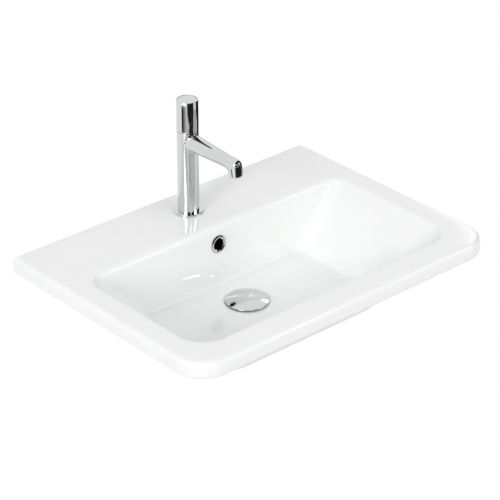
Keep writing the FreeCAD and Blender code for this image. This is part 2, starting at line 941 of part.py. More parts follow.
def four_windows(width, low, high, radius):
    """Two crossing bars that cut four windows through a wall round the tap's axis."""
    reach = radius + overrun
    half = width / 2
    y = deck.y
    bar = block(-reach, reach, y - half, y + half, rim + low, rim + high)
    return bar.fuse(block(-half, half, y - reach, y + reach, rim + low, rim + high))


def fixed_disc():
    low = cartridge_seat_height + cartridge_base_height
    high = low + disc_thickness
    body = disc(disc_radius, low, high, deck)
    for x in (-port_offset, port_offset):
        body = body.cut(disc(port_radius, low - overrun, high + overrun, deck + Vector(x, 0, 0)))
    return body


def moving_disc():
    """The disc whose curved mouth uncovers more of one port and less of the other."""
    low = spindle_base - disc_thickness
    body = disc(disc_radius, low, spindle_base, deck)
    mouth = tube(disc_mouth_outer_radius, disc_mouth_inner_radius, low, spindle_base, deck)
    reach = disc_mouth_outer_radius
    front = block(-reach, reach, deck.y - reach, deck.y, rim + low, rim + spindle_base)
    return body.cut(mouth.common(front))


def temperature_spindle():
    """The hollow spindle: a cup that holds the sliding valve, and the shaft that the knob turns."""
    pin = button_pin_radius + button_pin_clearance
    outline = [
        (spindle_throat_radius, 0),
        (disc_radius, 0),
        (disc_radius, spindle_flange_height),
        (spindle_cup_radius, spindle_flange_height),
        (spindle_cup_radius, spindle_cup_height),
        (spindle_radius, spindle_cup_height),
        (spindle_radius, spindle_length),
        (pin, spindle_length),
        (pin, spindle_cavity_top),
        (spindle_cavity_radius, spindle_cavity_top),
        (spindle_cavity_radius, spindle_ledge),
        (spindle_throat_radius, spindle_ledge),
    ]
    body = revolve(outline, deck + up * spindle_base)
    low = spindle_base + spindle_window_start
    cross = four_windows(spindle_window_width, low, low + spindle_window_height, spindle_cup_radius)
    return body.cut(cross)


def flow_valve():
    """The sliding valve that covers the spindle's windows until the button is pressed."""
    low = spindle_base + valve_start
    high = low + valve_height
    body = disc(spindle_cavity_radius - valve_clearance, low, high, deck)
    for passage in range(valve_passages):
        angle = math.tau * (passage + 1 / 2) / valve_passages
        across = Vector(math.cos(angle), math.sin(angle), 0) * valve_passage_offset
        body = body.cut(disc(valve_passage_radius, low - overrun, high + overrun, deck + across))
    return body.cut(disc(button_pin_radius, high - valve_pin_hold, high, deck))


def button_spring():
    low = spindle_base + spindle_ledge
    high = spindle_base + valve_start
    return spring(button_spring_radius, button_spring_wire, button_spring_turns, low, high, deck)


def button_pin():
    low = spindle_base + valve_start + valve_height - valve_pin_hold
    high = button_top - button_top_thickness - button_boss_length + button_pin_hold
    return disc(button_pin_radius, low, high, deck)


def push_button():
    """The cap that fills the knob's top, with a skirt that guides it and a boss for its pin."""
    under = button_top - button_top_thickness
    boss_low = under - button_boss_length
    skirt = button_radius - button_skirt_wall
    outline = [
        (button_pin_radius, boss_low),
        (button_boss_radius, boss_low),
        (button_boss_radius, under),
        (skirt, under),
        (skirt, under - button_skirt),
        (button_radius, under - button_skirt),
        (button_radius, button_top - button_edge),
        (button_radius - button_edge, button_top),
        (0, button_top),
        (0, boss_low + button_pin_hold),
        (button_pin_radius, boss_low + button_pin_hold),
    ]
    return revolve(outline, deck)


def lock_ring():
    """The slotted nut that clamps the cartridge down."""
    outer = cartridge_bore_radius - thread_clearance
    inner = housing_neck_radius + thread_clearance
    high = cartridge_top + lock_ring_height
    ring = tube(outer, inner, cartridge_top, high, deck)
    return ring.cut(four_windows(lock_ring_slot_width, high - lock_ring_slot_depth, high + overrun, outer))


def glide_ring():
    outer = knob_radius - glide_ring_inset
    return tube(outer, outer - glide_ring_width, column_top, column_top + glide_ring_height, deck)


def knob_inside():
    return knob_radius - knob_wall


def temperature_knob():
    """The sleeve above the seam, open at the top for the button, with a web to its hub."""
    web_top = knob_top - knob_web_below_top + knob_web_height
    web_low = knob_top - knob_web_below_top
    inside = knob_inside()
    outline = [
        (inside, knob_base),
        (knob_radius, knob_base),
        (knob_radius, knob_top - knob_edge),
        (knob_radius - knob_edge, knob_top),
        (inside, knob_top),
        (inside, web_top),
        (knob_boss_radius, web_top),
        (knob_boss_radius, hub_top),
        (spindle_radius, hub_top),
        (spindle_radius, hub_low),
        (knob_boss_radius, hub_low),
        (knob_boss_radius, web_low),
        (inside, web_low),
    ]
    body = revolve(outline, deck)
    place = grub_place()
    thread = Part.makeCylinder(grub_screw_radius, knob_boss_radius, place, Vector(0, 1, 0))
    reach = place + Vector(0, knob_boss_radius, 0)
    access = grub_screw_radius + grub_access_clearance
    body = body.cut(thread).cut(Part.makeCylinder(access, knob_radius, reach, Vector(0, 1, 0)))
    for side in (-1, 1):
        body = body.cut(mark(side))
    return body


def grub_place():
    """Where the grub screw meets the spindle."""
    return deck + Vector(0, spindle_radius, hub_low + grub_screw_start)


def knob_grub_screw():
    back = Vector(0, 1, 0)
    screw = Part.makeCylinder(grub_screw_radius, grub_screw_length, grub_place(), back)
    start = grub_place() + back * (grub_screw_length - grub_screw_socket_depth)
    return screw.cut(Part.makeCylinder(grub_screw_socket_radius, grub_screw_length, start, back))


def mark(side):
    """A coloured dot set flush into the knob, to one side of its front."""
    angle = math.radians(mark_angle)
    outwards = Vector(side * math.sin(angle), -math.cos(angle), 0)
    start = deck + outwards * (knob_radius - mark_depth) + up * (knob_base + mark_height)
    dot = Part.makeCylinder(mark_radius, mark_depth + overrun, start, outwards)
    return dot.common(disc(knob_radius, knob_base, knob_top, deck))


def hot_mark():
    return mark(-1)


def cold_mark():
    return mark(1)


def aerator_housing():
    """The threaded sleeve that holds the stream straightener in the nose."""
    outer = aerator_bore_radius - aerator_clearance
    inner = outer - aerator_wall
    top = aerator_bore_depth - aerator_seal_thickness
    outline = [
        (inner, -aerator_lip),
        (aerator_lip_radius, -aerator_lip),
        (aerator_lip_radius, 0),
        (outer, 0),
        (outer, top),
        (inner, top),
    ]
    return on_nose(revolve(outline, Vector(0, 0, 0)))


def aerator_insert():
    """The stream straightener, with a grid of square cells."""
    radius = aerator_bore_radius - aerator_clearance - aerator_wall
    low = aerator_insert_sink - aerator_lip
    body = Part.makeCylinder(radius, aerator_insert_height, up * low)
    pitch = aerator_cell + aerator_bar
    count = int((radius - aerator_bar) / pitch)
    cells = []
    half = aerator_cell / 2
    length = aerator_insert_height + 2 * overrun
    for column in range(-count, count + 1):
        for row in range(-count, count + 1):
            corner = math.hypot(abs(column) * pitch + half, abs(row) * pitch + half)
            if corner + aerator_bar < radius:
                start = Vector(column * pitch - half, row * pitch - half, low - overrun)
                cells.append(Part.makeBox(aerator_cell, aerator_cell, length, start))
    return on_nose(body.cut(cells))


def aerator_seal():
    outer = aerator_bore_radius - aerator_clearance
    low = aerator_bore_depth - aerator_seal_thickness
    inner = outer - aerator_wall
    seal = tube(outer, inner, low, aerator_bore_depth, Vector(0, 0, 0))
    return on_nose(seal)


def main():
    makers = [
        basin, overflow_ring, waste_body, waste_top_seal, waste_bottom_seal, waste_washer, waste_nut,
        click_barrel, click_spring, plug_stem, plug_cover, plug_seal, tap_body, base_ring, base_seal,
        tap_shank, clamp_pad, clamp_washer, clamp_nut, hot_inlet, cold_inlet, port_seals,
        cartridge_base, cartridge_housing, fixed_disc, moving_disc, lock_ring, glide_ring,
        temperature_spindle, flow_valve, button_spring, button_pin, push_button, temperature_knob,
        knob_grub_screw, hot_mark, cold_mark, aerator_housing, aerator_insert, aerator_seal,
    ]
    os.makedirs("parts", exist_ok=True)
    for maker in makers:
        shape = maker()
        shape.exportStep(f"parts/{maker.__name__}.step")
        print(maker.__name__, len(shape.Solids), round(shape.Volume / 1000, 2), shape.isValid())


main()
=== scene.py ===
# %% [markdown]
# A washbasin in glazed ceramic, with a chrome tap, overflow ring and waste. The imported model
# fixes where each piece is and how large. This script gives the pieces their final surfaces,
# finishes and light. A smooth mesh takes the place of every node, because polished chrome and
# glaze show each facet of a rough one.

# %% Load the frame
import json
import math

import bmesh
import bpy
import numpy as np
from mathutils import Matrix, Vector


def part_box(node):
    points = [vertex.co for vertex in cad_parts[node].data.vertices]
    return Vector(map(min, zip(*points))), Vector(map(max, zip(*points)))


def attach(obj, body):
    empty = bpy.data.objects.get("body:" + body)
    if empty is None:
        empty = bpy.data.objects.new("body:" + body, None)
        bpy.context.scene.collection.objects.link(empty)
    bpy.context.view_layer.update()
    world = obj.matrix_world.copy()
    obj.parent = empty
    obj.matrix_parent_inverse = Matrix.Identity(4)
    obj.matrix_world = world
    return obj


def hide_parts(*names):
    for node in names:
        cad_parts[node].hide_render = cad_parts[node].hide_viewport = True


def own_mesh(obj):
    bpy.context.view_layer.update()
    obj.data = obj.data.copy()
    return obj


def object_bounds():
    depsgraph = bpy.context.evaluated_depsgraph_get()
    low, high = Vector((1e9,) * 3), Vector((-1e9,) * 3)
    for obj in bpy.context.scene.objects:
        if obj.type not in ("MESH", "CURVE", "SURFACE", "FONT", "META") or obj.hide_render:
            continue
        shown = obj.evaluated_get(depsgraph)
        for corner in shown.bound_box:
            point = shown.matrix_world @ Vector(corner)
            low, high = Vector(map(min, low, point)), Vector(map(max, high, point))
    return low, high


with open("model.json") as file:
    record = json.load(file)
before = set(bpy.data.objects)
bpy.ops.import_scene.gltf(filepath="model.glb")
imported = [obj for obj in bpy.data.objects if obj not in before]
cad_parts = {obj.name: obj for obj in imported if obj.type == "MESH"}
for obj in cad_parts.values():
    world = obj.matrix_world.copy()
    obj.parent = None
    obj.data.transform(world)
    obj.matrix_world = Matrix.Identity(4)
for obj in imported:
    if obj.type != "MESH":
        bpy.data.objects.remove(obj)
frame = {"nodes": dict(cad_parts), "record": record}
nodes = frame["nodes"]
cad_low, cad_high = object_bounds()
MM = 0.001
print("nodes", len(nodes), "box", [round(v, 4) for v in (*cad_low, *cad_high)])

# %% [markdown]
# The camera stands where the photographer's did. Its angle, distance and lens were worked out
# from the basin's straight edges, which are square to each other on the real thing. The lens is
# long, so the edges run almost parallel.

# %% Camera
CAMERA_AZIMUTH = -41.53
CAMERA_ELEVATION = 28.72
CAMERA_DISTANCE = 3.4678
CAMERA_AIM = Vector((0.07705, -0.1228, 0.01045))
SENSOR_WIDTH = 36.0
LENS = 156.0
CLIPPED = (0.05, 50.0)  # nearer and further than this, nothing is drawn


def direction(azimuth, elevation):
    """The unit vector to a place in the studio, with degrees from the front towards +X."""
    turn, rise = math.radians(azimuth), math.radians(elevation)
    level = math.cos(rise)
    return Vector((math.sin(turn) * level, -math.cos(turn) * level, math.sin(rise)))


def set_up(thing, aim, azimuth, elevation, distance):
    """Puts a camera or a lamp into the studio, turned towards its aim."""
    bpy.context.scene.collection.objects.link(thing)
    back = direction(azimuth, elevation)
    thing.location = aim + back * distance
    thing.rotation_mode = "QUATERNION"
    thing.rotation_quaternion = (-back).to_track_quat("-Z", "Y")


def add_camera():
    """The camera that takes the picture."""
    data = bpy.data.cameras.new("camera")
    data.sensor_width = SENSOR_WIDTH
    data.lens = LENS
    data.clip_start, data.clip_end = CLIPPED
    camera = bpy.data.objects.new("camera", data)
    set_up(camera, CAMERA_AIM, CAMERA_AZIMUTH, CAMERA_ELEVATION, CAMERA_DISTANCE)
    bpy.context.scene.camera = camera
    return camera


camera = add_camera()
bpy.context.scene.view_settings.view_transform = "Standard"
print("camera", [round(v, 3) for v in camera.location])

# %% [markdown]
# Shader maths reads best as plain arithmetic. This class wraps one output of a node, so that an
# expression such as `grain * 0.2 + 0.1` adds the Math nodes that it needs. All other nodes come
# from one method, which sets the node's own settings before it feeds its sockets.


# %% Shader arithmetic
class Wire:
    """One output of a node tree, on which arithmetic adds Math nodes."""

    def __init__(self, tree, socket):
        self.tree = tree
        self.socket = socket

    def math(self, operation, *others):
        """The output of a new Math node, which works on this one and the others."""
        node = self.tree.nodes.new("ShaderNodeMath")
        node.operation = operation
        for place, value in zip(node.inputs, (self, *others)):
            feed(self.tree, place, value)
        return Wire(self.tree, node.outputs[0])

    def __add__(self, other):
        return self.math("ADD", other)

    def __mul__(self, other):
        return self.math("MULTIPLY", other)

    __radd__ = __add__
    __rmul__ = __mul__


def feed(tree, place, value):
    """Links a wire to a socket, or sets the socket's own value."""
    if isinstance(value, Wire):
        tree.links.new(value.socket, place)
    else:
        place.default_value = value


class Nodes:
    """A node tree with one method that adds any node to it."""

    def __init__(self, tree):
        self.tree = tree
        tree.nodes.clear()

    def add(self, kind, settings=None, in_order=(), output=0, **sockets):
        """Adds a node, and gives one of its outputs. Its sockets are named, or come in order
        where several share a name. A ramp's stops are a setting, each a place and a colour."""
        node = self.tree.nodes.new(kind)
        for name, value in (settings or {}).items():
            if name == "stops":
                for element, (place, colour) in zip(node.color_ramp.elements, value):
                    element.position = place
                    element.color = (*colour, 1.0)
            else:
                setattr(node, name, value)
        for place, value in zip(node.inputs, in_order):
            feed(self.tree, place, value)
        for name, value in sockets.items():
            feed(self.tree, node.inputs[name.replace("_", " ")], value)
        return Wire(self.tree, node.outputs[output]) if node.outputs else None


def new_material(name):
    """A material, and its tree without any nodes."""
    material = bpy.data.materials.new(name)
    material.use_nodes = True
    return material, Nodes(material.node_tree)


print("shader helpers are ready")

# %% [markdown]
# A photo studio for white ware lights it softly. The world is a plain pale dome, which gives most
# of the light. A large lamp low on the left models the shapes, and shows in the chrome and the
# glaze. A lamp in front and a small one on the right fill in. Mirrored rays don't see those two,
# because they would lay broad white patches on the glaze. To the camera, and to what the chrome
# and the glaze mirror, the world is pure white.

# %% World and lamps
WORLD_LIGHT = 0.62
WHITE = (1.0, 1.0, 1.0, 1.0)
LAMP_DISTANCE = 8.0
LAMP_AIM = Vector((0.0, -0.2, 0.05))
LAMPS = (  # name, azimuth and elevation in degrees, width, height, watts, whether mirrored
    ("left_lamp", -72, 21, 2.5, 2.6, 235.0, True),
    ("front_lamp", 12, 38, 3.8, 3.8, 140.0, False),
    ("right_lamp", 50, 34, 1.7, 2.4, 32.0, False),
)


def shown_rays(make):
    """One for rays from the camera or off a mirror or through glass, and otherwise nothing."""
    kinds = ("Is Camera Ray", "Is Glossy Ray", "Is Transmission Ray")
    rays = [make.add("ShaderNodeLightPath", output=kind) for kind in kinds]
    return (rays[0] + rays[1] + rays[2]).math("MINIMUM", 1.0)


def light_world():
    """A dome of plain light, white wherever it is seen or mirrored."""
    world = bpy.data.worlds.new("studio")
    world.use_nodes = True
    bpy.context.scene.world = world
    make = Nodes(world.node_tree)
    strength = shown_rays(make) * (1.0 - WORLD_LIGHT) + WORLD_LIGHT
    sky = make.add("ShaderNodeBackground", Color=WHITE, Strength=strength)
    make.add("ShaderNodeOutputWorld", Surface=sky)


def add_lamp(name, azimuth, elevation, width, height, watts, mirrored):
    """A soft box that faces the bowl."""
    data = bpy.data.lights.new(name, "AREA")
    data.shape = "RECTANGLE"
    data.size = width
    data.size_y = height
    data.energy = watts
    lamp = bpy.data.objects.new(name, data)
    set_up(lamp, LAMP_AIM, azimuth, elevation, LAMP_DISTANCE)
    lamp.visible_glossy = mirrored


light_world()
for lamp in LAMPS:
    add_lamp(*lamp)
print("lamps", [lamp[0] for lamp in LAMPS])

# %% [markdown]
# Most pieces here are a row of rings with as many points each, joined with quads. One helper
# skins such rings. Another merges a mesh's doubles, turns its faces outwards and marks its real
# edges as sharp, so everything else shades smoothly.

# %% Rings and skins
SMOOTH_ANGLE = math.radians(38)
MERGE_DISTANCE = 1e-6


def add_piece(name, points, faces):
    """A new object, with its shape in place in its mesh."""
    mesh = bpy.data.meshes.new(name)
    mesh.from_pydata([tuple(point) for point in points], [], faces)
    piece = bpy.data.objects.new(name, mesh)
    bpy.context.scene.collection.objects.link(piece)
    return piece


def tidy(piece):
    """Merges doubles, turns the faces outwards and shades all but the real edges smooth."""
    work = bmesh.new()
    work.from_mesh(piece.data)
    bmesh.ops.remove_doubles(work, verts=work.verts, dist=MERGE_DISTANCE)
    bmesh.ops.dissolve_degenerate(work, edges=work.edges, dist=MERGE_DISTANCE)
    bmesh.ops.recalc_face_normals(work, faces=work.faces)
    work.to_mesh(piece.data)
    work.free()
    piece.data.shade_smooth()
    piece.data.set_sharp_from_angle(angle=SMOOTH_ANGLE)
    return piece


def skin(name, rings, loop=False):
    """Joins rings of points with quads. The row of rings ends in flat caps, or in a loop."""
    count = len(rings[0])
    faces = []
    rows = len(rings) if loop else len(rings) - 1
    for row in range(rows):
        low, high = row * count, (row + 1) % len(rings) * count
        for place in range(count):
            after = (place + 1) % count
            faces.append((low + place, low + after, high + after, high + place))
    if not loop:
        faces.append(tuple(range(count)))
        faces.append(tuple(range((len(rings) - 1) * count, len(rings) * count)))
    return tidy(add_piece(name, np.concatenate(rings), faces))


def around(count):
    """Evenly spaced angles all the way round."""
    return np.linspace(0, math.tau, count, endpoint=False)


def report(*pieces):
    """Prints how many faces each piece has."""
    print(*(f"{piece.name} {len(piece.data.polygons)} faces" for piece in pieces))


print("edges sharper than", round(math.degrees(SMOOTH_ANGLE)), "degrees stay sharp")

# %% [markdown]
# The floor lies far below the basin. It is a light grey that throws some light up, and glows
# white for the rays that show it, so the picture's background is even. A small share of it stays
# grey there too, and takes the basin's shadow.

# %% Floor
FLOOR_DROP = 0.75
FLOOR_SIZE = 60.0
FLOOR_GREY = (0.70, 0.70, 0.70, 1.0)
FLOOR_GLOW = 1.03
FLOOR_WHITE_SHARE = 0.96


def add_floor():
    """Makes the floor, and gives its height."""
    half = FLOOR_SIZE / 2
    z = cad_low.z - FLOOR_DROP
    corners = [(-half, -half, z), (half, -half, z), (half, half, z), (-half, half, z)]
    floor = add_piece("floor", corners, [(0, 1, 2, 3)])
    material, make = new_material("pale_floor")
    matt = make.add("ShaderNodeBsdfDiffuse", Color=FLOOR_GREY)
    glow = make.add("ShaderNodeEmission", Color=WHITE, Strength=FLOOR_GLOW)
    share = shown_rays(make) * FLOOR_WHITE_SHARE
    mix = make.add("ShaderNodeMixShader", in_order=(share, matt, glow))
    make.add("ShaderNodeOutputMaterial", Surface=mix)
    floor.data.materials.append(material)
    return z


print("floor at", round(add_floor(), 3))

# %% [markdown]
# The basin is one piece of glazed ceramic. Its shape follows a rule: a row of nested outlines,
# each a rectangle with rounded corners, leads from the waste hole up the bowl, over the rim and
# down round the underside, back to the hole. An outline has the same number of points each
# time, so neighbours join with quads, and light runs over them with no ripples. A boolean of
# boxes would give the same sizes, but its corners would shade badly.

# %% Sizes of the basin
RIM = 0.085
HALF_WIDTH = cad_high.x
DEPTH = -cad_low.y
SLAB_HEIGHT = 0.026
SLAB_THICKNESS = 0.014
FOOT_WIDTH = 0.016
SLAB_CORNERS = (0.050, 0.007)  # in front and at the back
TOP_EDGE = 0.0085
BOTTOM_EDGE = 0.004
SMALL_EDGE = 0.003
OPENING = (0.258, 0.3915, 0.1325)  # half its length, and its front and back from the wall
OPENING_CORNERS = (0.040, 0.024)
SIDE_RUN, FRONT_RUN, BACK_RUN = 0.95, 0.555, 0.08  # how far a wall comes in on its way down
OPENING_EDGE = 0.011
FLOOR_EDGE = 0.012
FLOOR_SLOPE = 0.03
BOWL_WALL = 0.011
UNDER_EDGE = 0.018
BOSS_FILLET = UNDER_EDGE / 3
WASTE = np.array([0.0, -0.203])
DISH_RADIUS = 0.046
DISH_DEPTH = 0.1025  # depths are below the rim
DISH_FALL = 0.0025
RECESS_RADIUS = 0.0325
RECESS_DEPTH = 0.1085
HOLE_RADIUS = 0.023
BOSS_RADIUS = 0.040
BOSS_DEPTH = 0.138
print("basin", HALF_WIDTH * 2, "by", round(DEPTH, 3))

# %% [markdown]
# An outline is made of four quarter circles and the straight sides between them. Beside its
# points it gives their outward normals, because the walls slope, and a sloping wall comes in
# along them. Round the waste, outlines turn into circles: each point slides along the line that
# leads from it to the middle of the waste.

# %% Outlines
SIDE_POINTS = 22
CORNER_POINTS = 14
ROUND_STEPS = 10
LEAST_RADIUS = 1e-5


def rounded_outline(half, front, back, corners):
    """Points and outward normals of a rectangle with rounded corners. It reaches from
    y = -front to y = -back, and its front and back corners have radii of their own."""
    places = [
        (-half, -back, corners[1], 90),
        (-half, -front, corners[0], 180),
        (half, -front, corners[0], 270),
        (half, -back, corners[1], 0),
    ]
    arcs = []
    for x, y, radius, start in places:
        radius = max(radius, LEAST_RADIUS)
        centre = (x - math.copysign(radius, x), y + (radius if start >= 180 else -radius))
        turns = np.radians(np.linspace(start, start + 90, CORNER_POINTS + 1))
        normals = np.stack([np.cos(turns), np.sin(turns)], 1)
        arcs.append((np.array(centre) + normals * radius, normals))
    points, directions = [], []
    for index, (arc, normals) in enumerate(arcs):
        following = arcs[(index + 1) % 4][0][0]
        points.extend(arc)
        directions.extend(normals)
        for share in np.linspace(0, 1, SIDE_POINTS + 1)[1:-1]:
            points.append(arc[-1] * (1 - share) + following * share)
            directions.append(normals[-1])
    return np.array(points), np.array(directions)


def slab_ring(inset, depth):
    """The slab's outline, moved in, at a depth below the rim."""
    corners = [radius - inset for radius in SLAB_CORNERS]
    outline = rounded_outline(HALF_WIDTH - inset, DEPTH - inset, inset, corners)[0]
    return np.column_stack([outline, np.full(len(outline), RIM - depth)])


def circle_ring(outline, radius, depth):
    """A circle about the waste, with each point on the line out to its outline point."""
    away = outline[:, :2] - WASTE
    away = away / np.linalg.norm(away, axis=1)[:, None]
    depth = np.broadcast_to(depth, len(outline))
    return np.column_stack([WASTE + away * radius, RIM - depth])


def between(first, last, steps):
    """Rings part of the way from one ring to another, without either of them."""
    return [first + (last - first) * step / steps for step in range(1, steps)]


def quarter(steps=ROUND_STEPS):
    """The sine and the cosine of each angle round an edge."""
    turns = [math.pi / 2 * step / steps for step in range(steps + 1)]
    return [(math.sin(turn), math.cos(turn)) for turn in turns]


print("points of an outline", len(slab_ring(0, 0)))

# %% [markdown]
# The bowl's four walls slope at different angles, so a rounded edge has to turn through a
# different angle at each point of an outline. This class knows the slope at every point. It gives
# the wall at any depth, and rounds it into the deck above or the floor below.


# %% Sloping walls
class Wall:
    """The bowl's wall, on its inside or moved out by the wall's thickness."""

    PROBE_DEPTH = 0.1

    def __init__(self, grow):
        self.grow = grow
        self.base, self.normals = self.outline(0.0)
        self.drift = (self.outline(self.PROBE_DEPTH)[0] - self.base) / self.PROBE_DEPTH
        leans = np.where(self.normals[:, 1] < 0, FRONT_RUN, BACK_RUN)
        self.run = np.abs(self.normals[:, 0]) * SIDE_RUN + np.abs(self.normals[:, 1]) * leans
        self.turn = np.arctan2(1.0, self.run)

    def outline(self, depth):
        """The wall's level outline at a depth, and its normals."""
        spread = [math.hypot(1, run) * self.grow for run in (SIDE_RUN, FRONT_RUN, BACK_RUN)]
        return rounded_outline(
            OPENING[0] - SIDE_RUN * depth + spread[0],
            OPENING[1] - FRONT_RUN * depth + spread[1],
            OPENING[2] + BACK_RUN * depth - spread[2],
            [radius + self.grow for radius in OPENING_CORNERS],
        )

    def ring(self, depth, inset=0.0):
        """The wall's points at a depth for each, moved in from the wall."""
        depth = np.broadcast_to(depth, self.turn.shape)
        inset = np.broadcast_to(inset, self.turn.shape)
        flat = self.base + self.drift * depth[:, None] - self.normals * inset[:, None]
        return np.column_stack([flat, RIM - depth])

    def rounded(self, radius, level, side=1):
        """From a level floor below up onto the wall, or from the deck above down onto it, for
        which side is -1."""
        rings = []
        reach = radius * np.tan(self.turn / 2)
        for step in range(ROUND_STEPS + 1):
            angle = self.turn * step / ROUND_STEPS
            rise = radius * (1 - np.cos(angle))
            inwards = reach - radius * np.sin(angle) + self.run * rise
            rings.append(self.ring(level - side * rise, side * inwards))
        return rings


inside, outside = Wall(0.0), Wall(BOWL_WALL)
print("walls turn from", *np.degrees([inside.turn.min(), inside.turn.max()]).round(1))

# %% [markdown]
# The rings start at the waste hole's lower end and climb the bowl: the recess that takes the
# waste's flange, the dish round it, the floor, the walls, and the rounded edge onto the deck.
# The floor falls a little towards the dish, so that water runs off.

# %% Bowl
DISH_ROWS, FLOOR_ROWS, WALL_ROWS = 6, 14, 16


def bowl_rings():
    """From the waste hole's lower end up the bowl to the deck."""
    flat = inside.ring(DISH_DEPTH)
    distance = np.linalg.norm(flat[:, :2] - WASTE, axis=1)
    floor = DISH_DEPTH - FLOOR_SLOPE * (distance - DISH_RADIUS - FLOOR_EDGE)
    edge = inside.rounded(FLOOR_EDGE, floor)
    rings = [circle_ring(edge[0], HOLE_RADIUS, depth) for depth in (BOSS_DEPTH, RECESS_DEPTH)]
    rings.append(circle_ring(edge[0], RECESS_RADIUS, RECESS_DEPTH))
    rings.append(circle_ring(edge[0], RECESS_RADIUS, DISH_DEPTH + DISH_FALL))
    dish = circle_ring(edge[0], DISH_RADIUS, DISH_DEPTH)
    rings += between(rings[-1], dish, DISH_ROWS) + [dish]
    rings += between(dish, edge[0], FLOOR_ROWS) + edge
    wall_top = inside.rounded(OPENING_EDGE, 0.0, -1)[::-1]
    return rings + between(edge[-1], wall_top[0], WALL_ROWS) + wall_top


rings = bowl_rings()
print("bowl rings", len(rings))

# %% [markdown]
# From the bowl's edge the rings go on over the level deck and round the slab's soft upper edge.
# They go down its side and under its foot, the narrow band that it rests on, and end in the
# hollow behind the foot.

# %% Rim
DECK_ROWS, SIDE_ROWS = 6, 4
FOOT_STEPS, SMALL_STEPS = 5, 4


def rim_rings(last):
    """Over the deck, round the slab's outside and under its foot into the hollow."""
    foot = FOOT_WIDTH - SMALL_EDGE
    top = [slab_ring(TOP_EDGE * (1 - s), TOP_EDGE * (1 - c)) for s, c in quarter()]
    low = [
        slab_ring(BOTTOM_EDGE * (1 - c), SLAB_HEIGHT - BOTTOM_EDGE * (1 - s))
        for s, c in quarter(FOOT_STEPS)
    ]
    inner = [
        slab_ring(foot + SMALL_EDGE * s, SLAB_HEIGHT - SMALL_EDGE * (1 - c))
        for s, c in quarter(SMALL_STEPS)
    ]
    high = [
        slab_ring(FOOT_WIDTH + SMALL_EDGE * (1 - c), SLAB_THICKNESS + SMALL_EDGE * (1 - s))
        for s, c in quarter(SMALL_STEPS)
    ]
    rings = between(last, top[0], DECK_ROWS) + top
    return rings + between(top[-1], low[0], SIDE_ROWS) + low + inner + high


rings += rim_rings(rings[-1])
print("with the rim", len(rings))

# %% [markdown]
# The underside follows the bowl at the thickness of its wall, and ends in a short boss, on whose
# lower face the waste's nut draws its seal tight. The last ring joins the first, so the skin is
# one closed body.

# %% Underside
HOLLOW_ROWS, SHELL_ROWS, UNDER_ROWS = 5, 10, 8


def under_rings(last):
    """Across the hollow, down the bowl's outside and round the waste boss."""
    lowest = DISH_DEPTH + BOWL_WALL
    head = outside.ring(SLAB_THICKNESS)
    edge = outside.rounded(UNDER_EDGE, lowest)[::-1]
    blend = circle_ring(edge[-1], BOSS_RADIUS + BOSS_FILLET, lowest)
    rings = between(last, head, HOLLOW_ROWS) + [head]
    rings += between(head, edge[0], SHELL_ROWS) + edge
    rings += between(edge[-1], blend, UNDER_ROWS)
    for s, c in quarter(FOOT_STEPS):
        radius = BOSS_RADIUS + BOSS_FILLET * (1 - s)
        rings.append(circle_ring(blend, radius, lowest + BOSS_FILLET * (1 - c)))
    for s, c in quarter(SMALL_STEPS):
        radius = BOSS_RADIUS - SMALL_EDGE * (1 - c)
        rings.append(circle_ring(blend, radius, BOSS_DEPTH - SMALL_EDGE * (1 - s)))
    return rings


rings += under_rings(rings[-1])
basin = skin("basin_body", rings, loop=True)
report(basin)

# %% [markdown]
# The overflow duct, the wall apron and its webs, and the holes are plain forms that meet the
# basin behind and below. Here booleans are the right tool: they act on few, flat faces, and the
# smooth rows of the bowl and the rim stay as they are.

# %% Blocks and booleans
EDGE_STEPS = 6


def from_work(name, work):
    """A new object from a bmesh, which is then done with."""
    piece = add_piece(name, [], [])
    work.to_mesh(piece.data)
    work.free()
    return piece


def block(name, low, high, rounding=0.0, chosen=None):
    """A box between two corners. The edges that a function chooses may be rounded."""
    low, high = Vector(low), Vector(high)
    work = bmesh.new()
    bmesh.ops.create_cube(work, size=1.0)
    bmesh.ops.scale(work, vec=high - low, verts=work.verts)
    bmesh.ops.translate(work, vec=(low + high) / 2, verts=work.verts)
    if chosen:
        edges = [edge for edge in work.edges if chosen(edge)]
        bmesh.ops.bevel(
            work, geom=edges, offset=rounding, segments=EDGE_STEPS, profile=0.5, affect="EDGES"
        )
    return from_work(name, work)


def applied(piece):
    """The piece with its modifiers turned into plain mesh."""
    bpy.context.view_layer.update()
    graph = bpy.context.evaluated_depsgraph_get()
    mesh = bpy.data.meshes.new_from_object(piece.evaluated_get(graph))
    mesh.name = piece.name
    piece.modifiers.clear()
    piece.data = mesh
    return piece


def combine(piece, others, operation):
    """Adds other pieces to a piece, or cuts them from it, and removes them."""
    for other in others:
        change = piece.modifiers.new(operation, "BOOLEAN")
        change.operation = operation
        change.solver = "EXACT"
        change.object = other
        applied(piece)
        bpy.data.objects.remove(other)


print("a block's edge is rounded in", EDGE_STEPS, "steps")

# %% [markdown]
# Water that rises too high leaves through a duct behind the bowl, down to the waste. Its outside
# is a bulge under the slab, with two rounded corners behind. It is skinned from side views of it,
# one for each place across its width.

# %% Overflow duct
OVERFLOW_DEPTH = 0.031
DUCT_WIDTH = 0.036
DUCT_ROOM = 0.012
DUCT_WALL = 0.009
BULGE_EDGE = 0.006
BULGE_PLACES = 13
BULGE_STEPS = 6

duct_back = -OPENING[2] + DUCT_ROOM + DUCT_WALL
into_slab = RIM - SLAB_THICKNESS / 2
half_bulge = DUCT_WIDTH / 2 + DUCT_WALL


def wall_middle(depth):
    """How far back the middle of the bowl's back wall is, at a depth."""
    return -OPENING[2] - BACK_RUN * depth + BOWL_WALL / 2


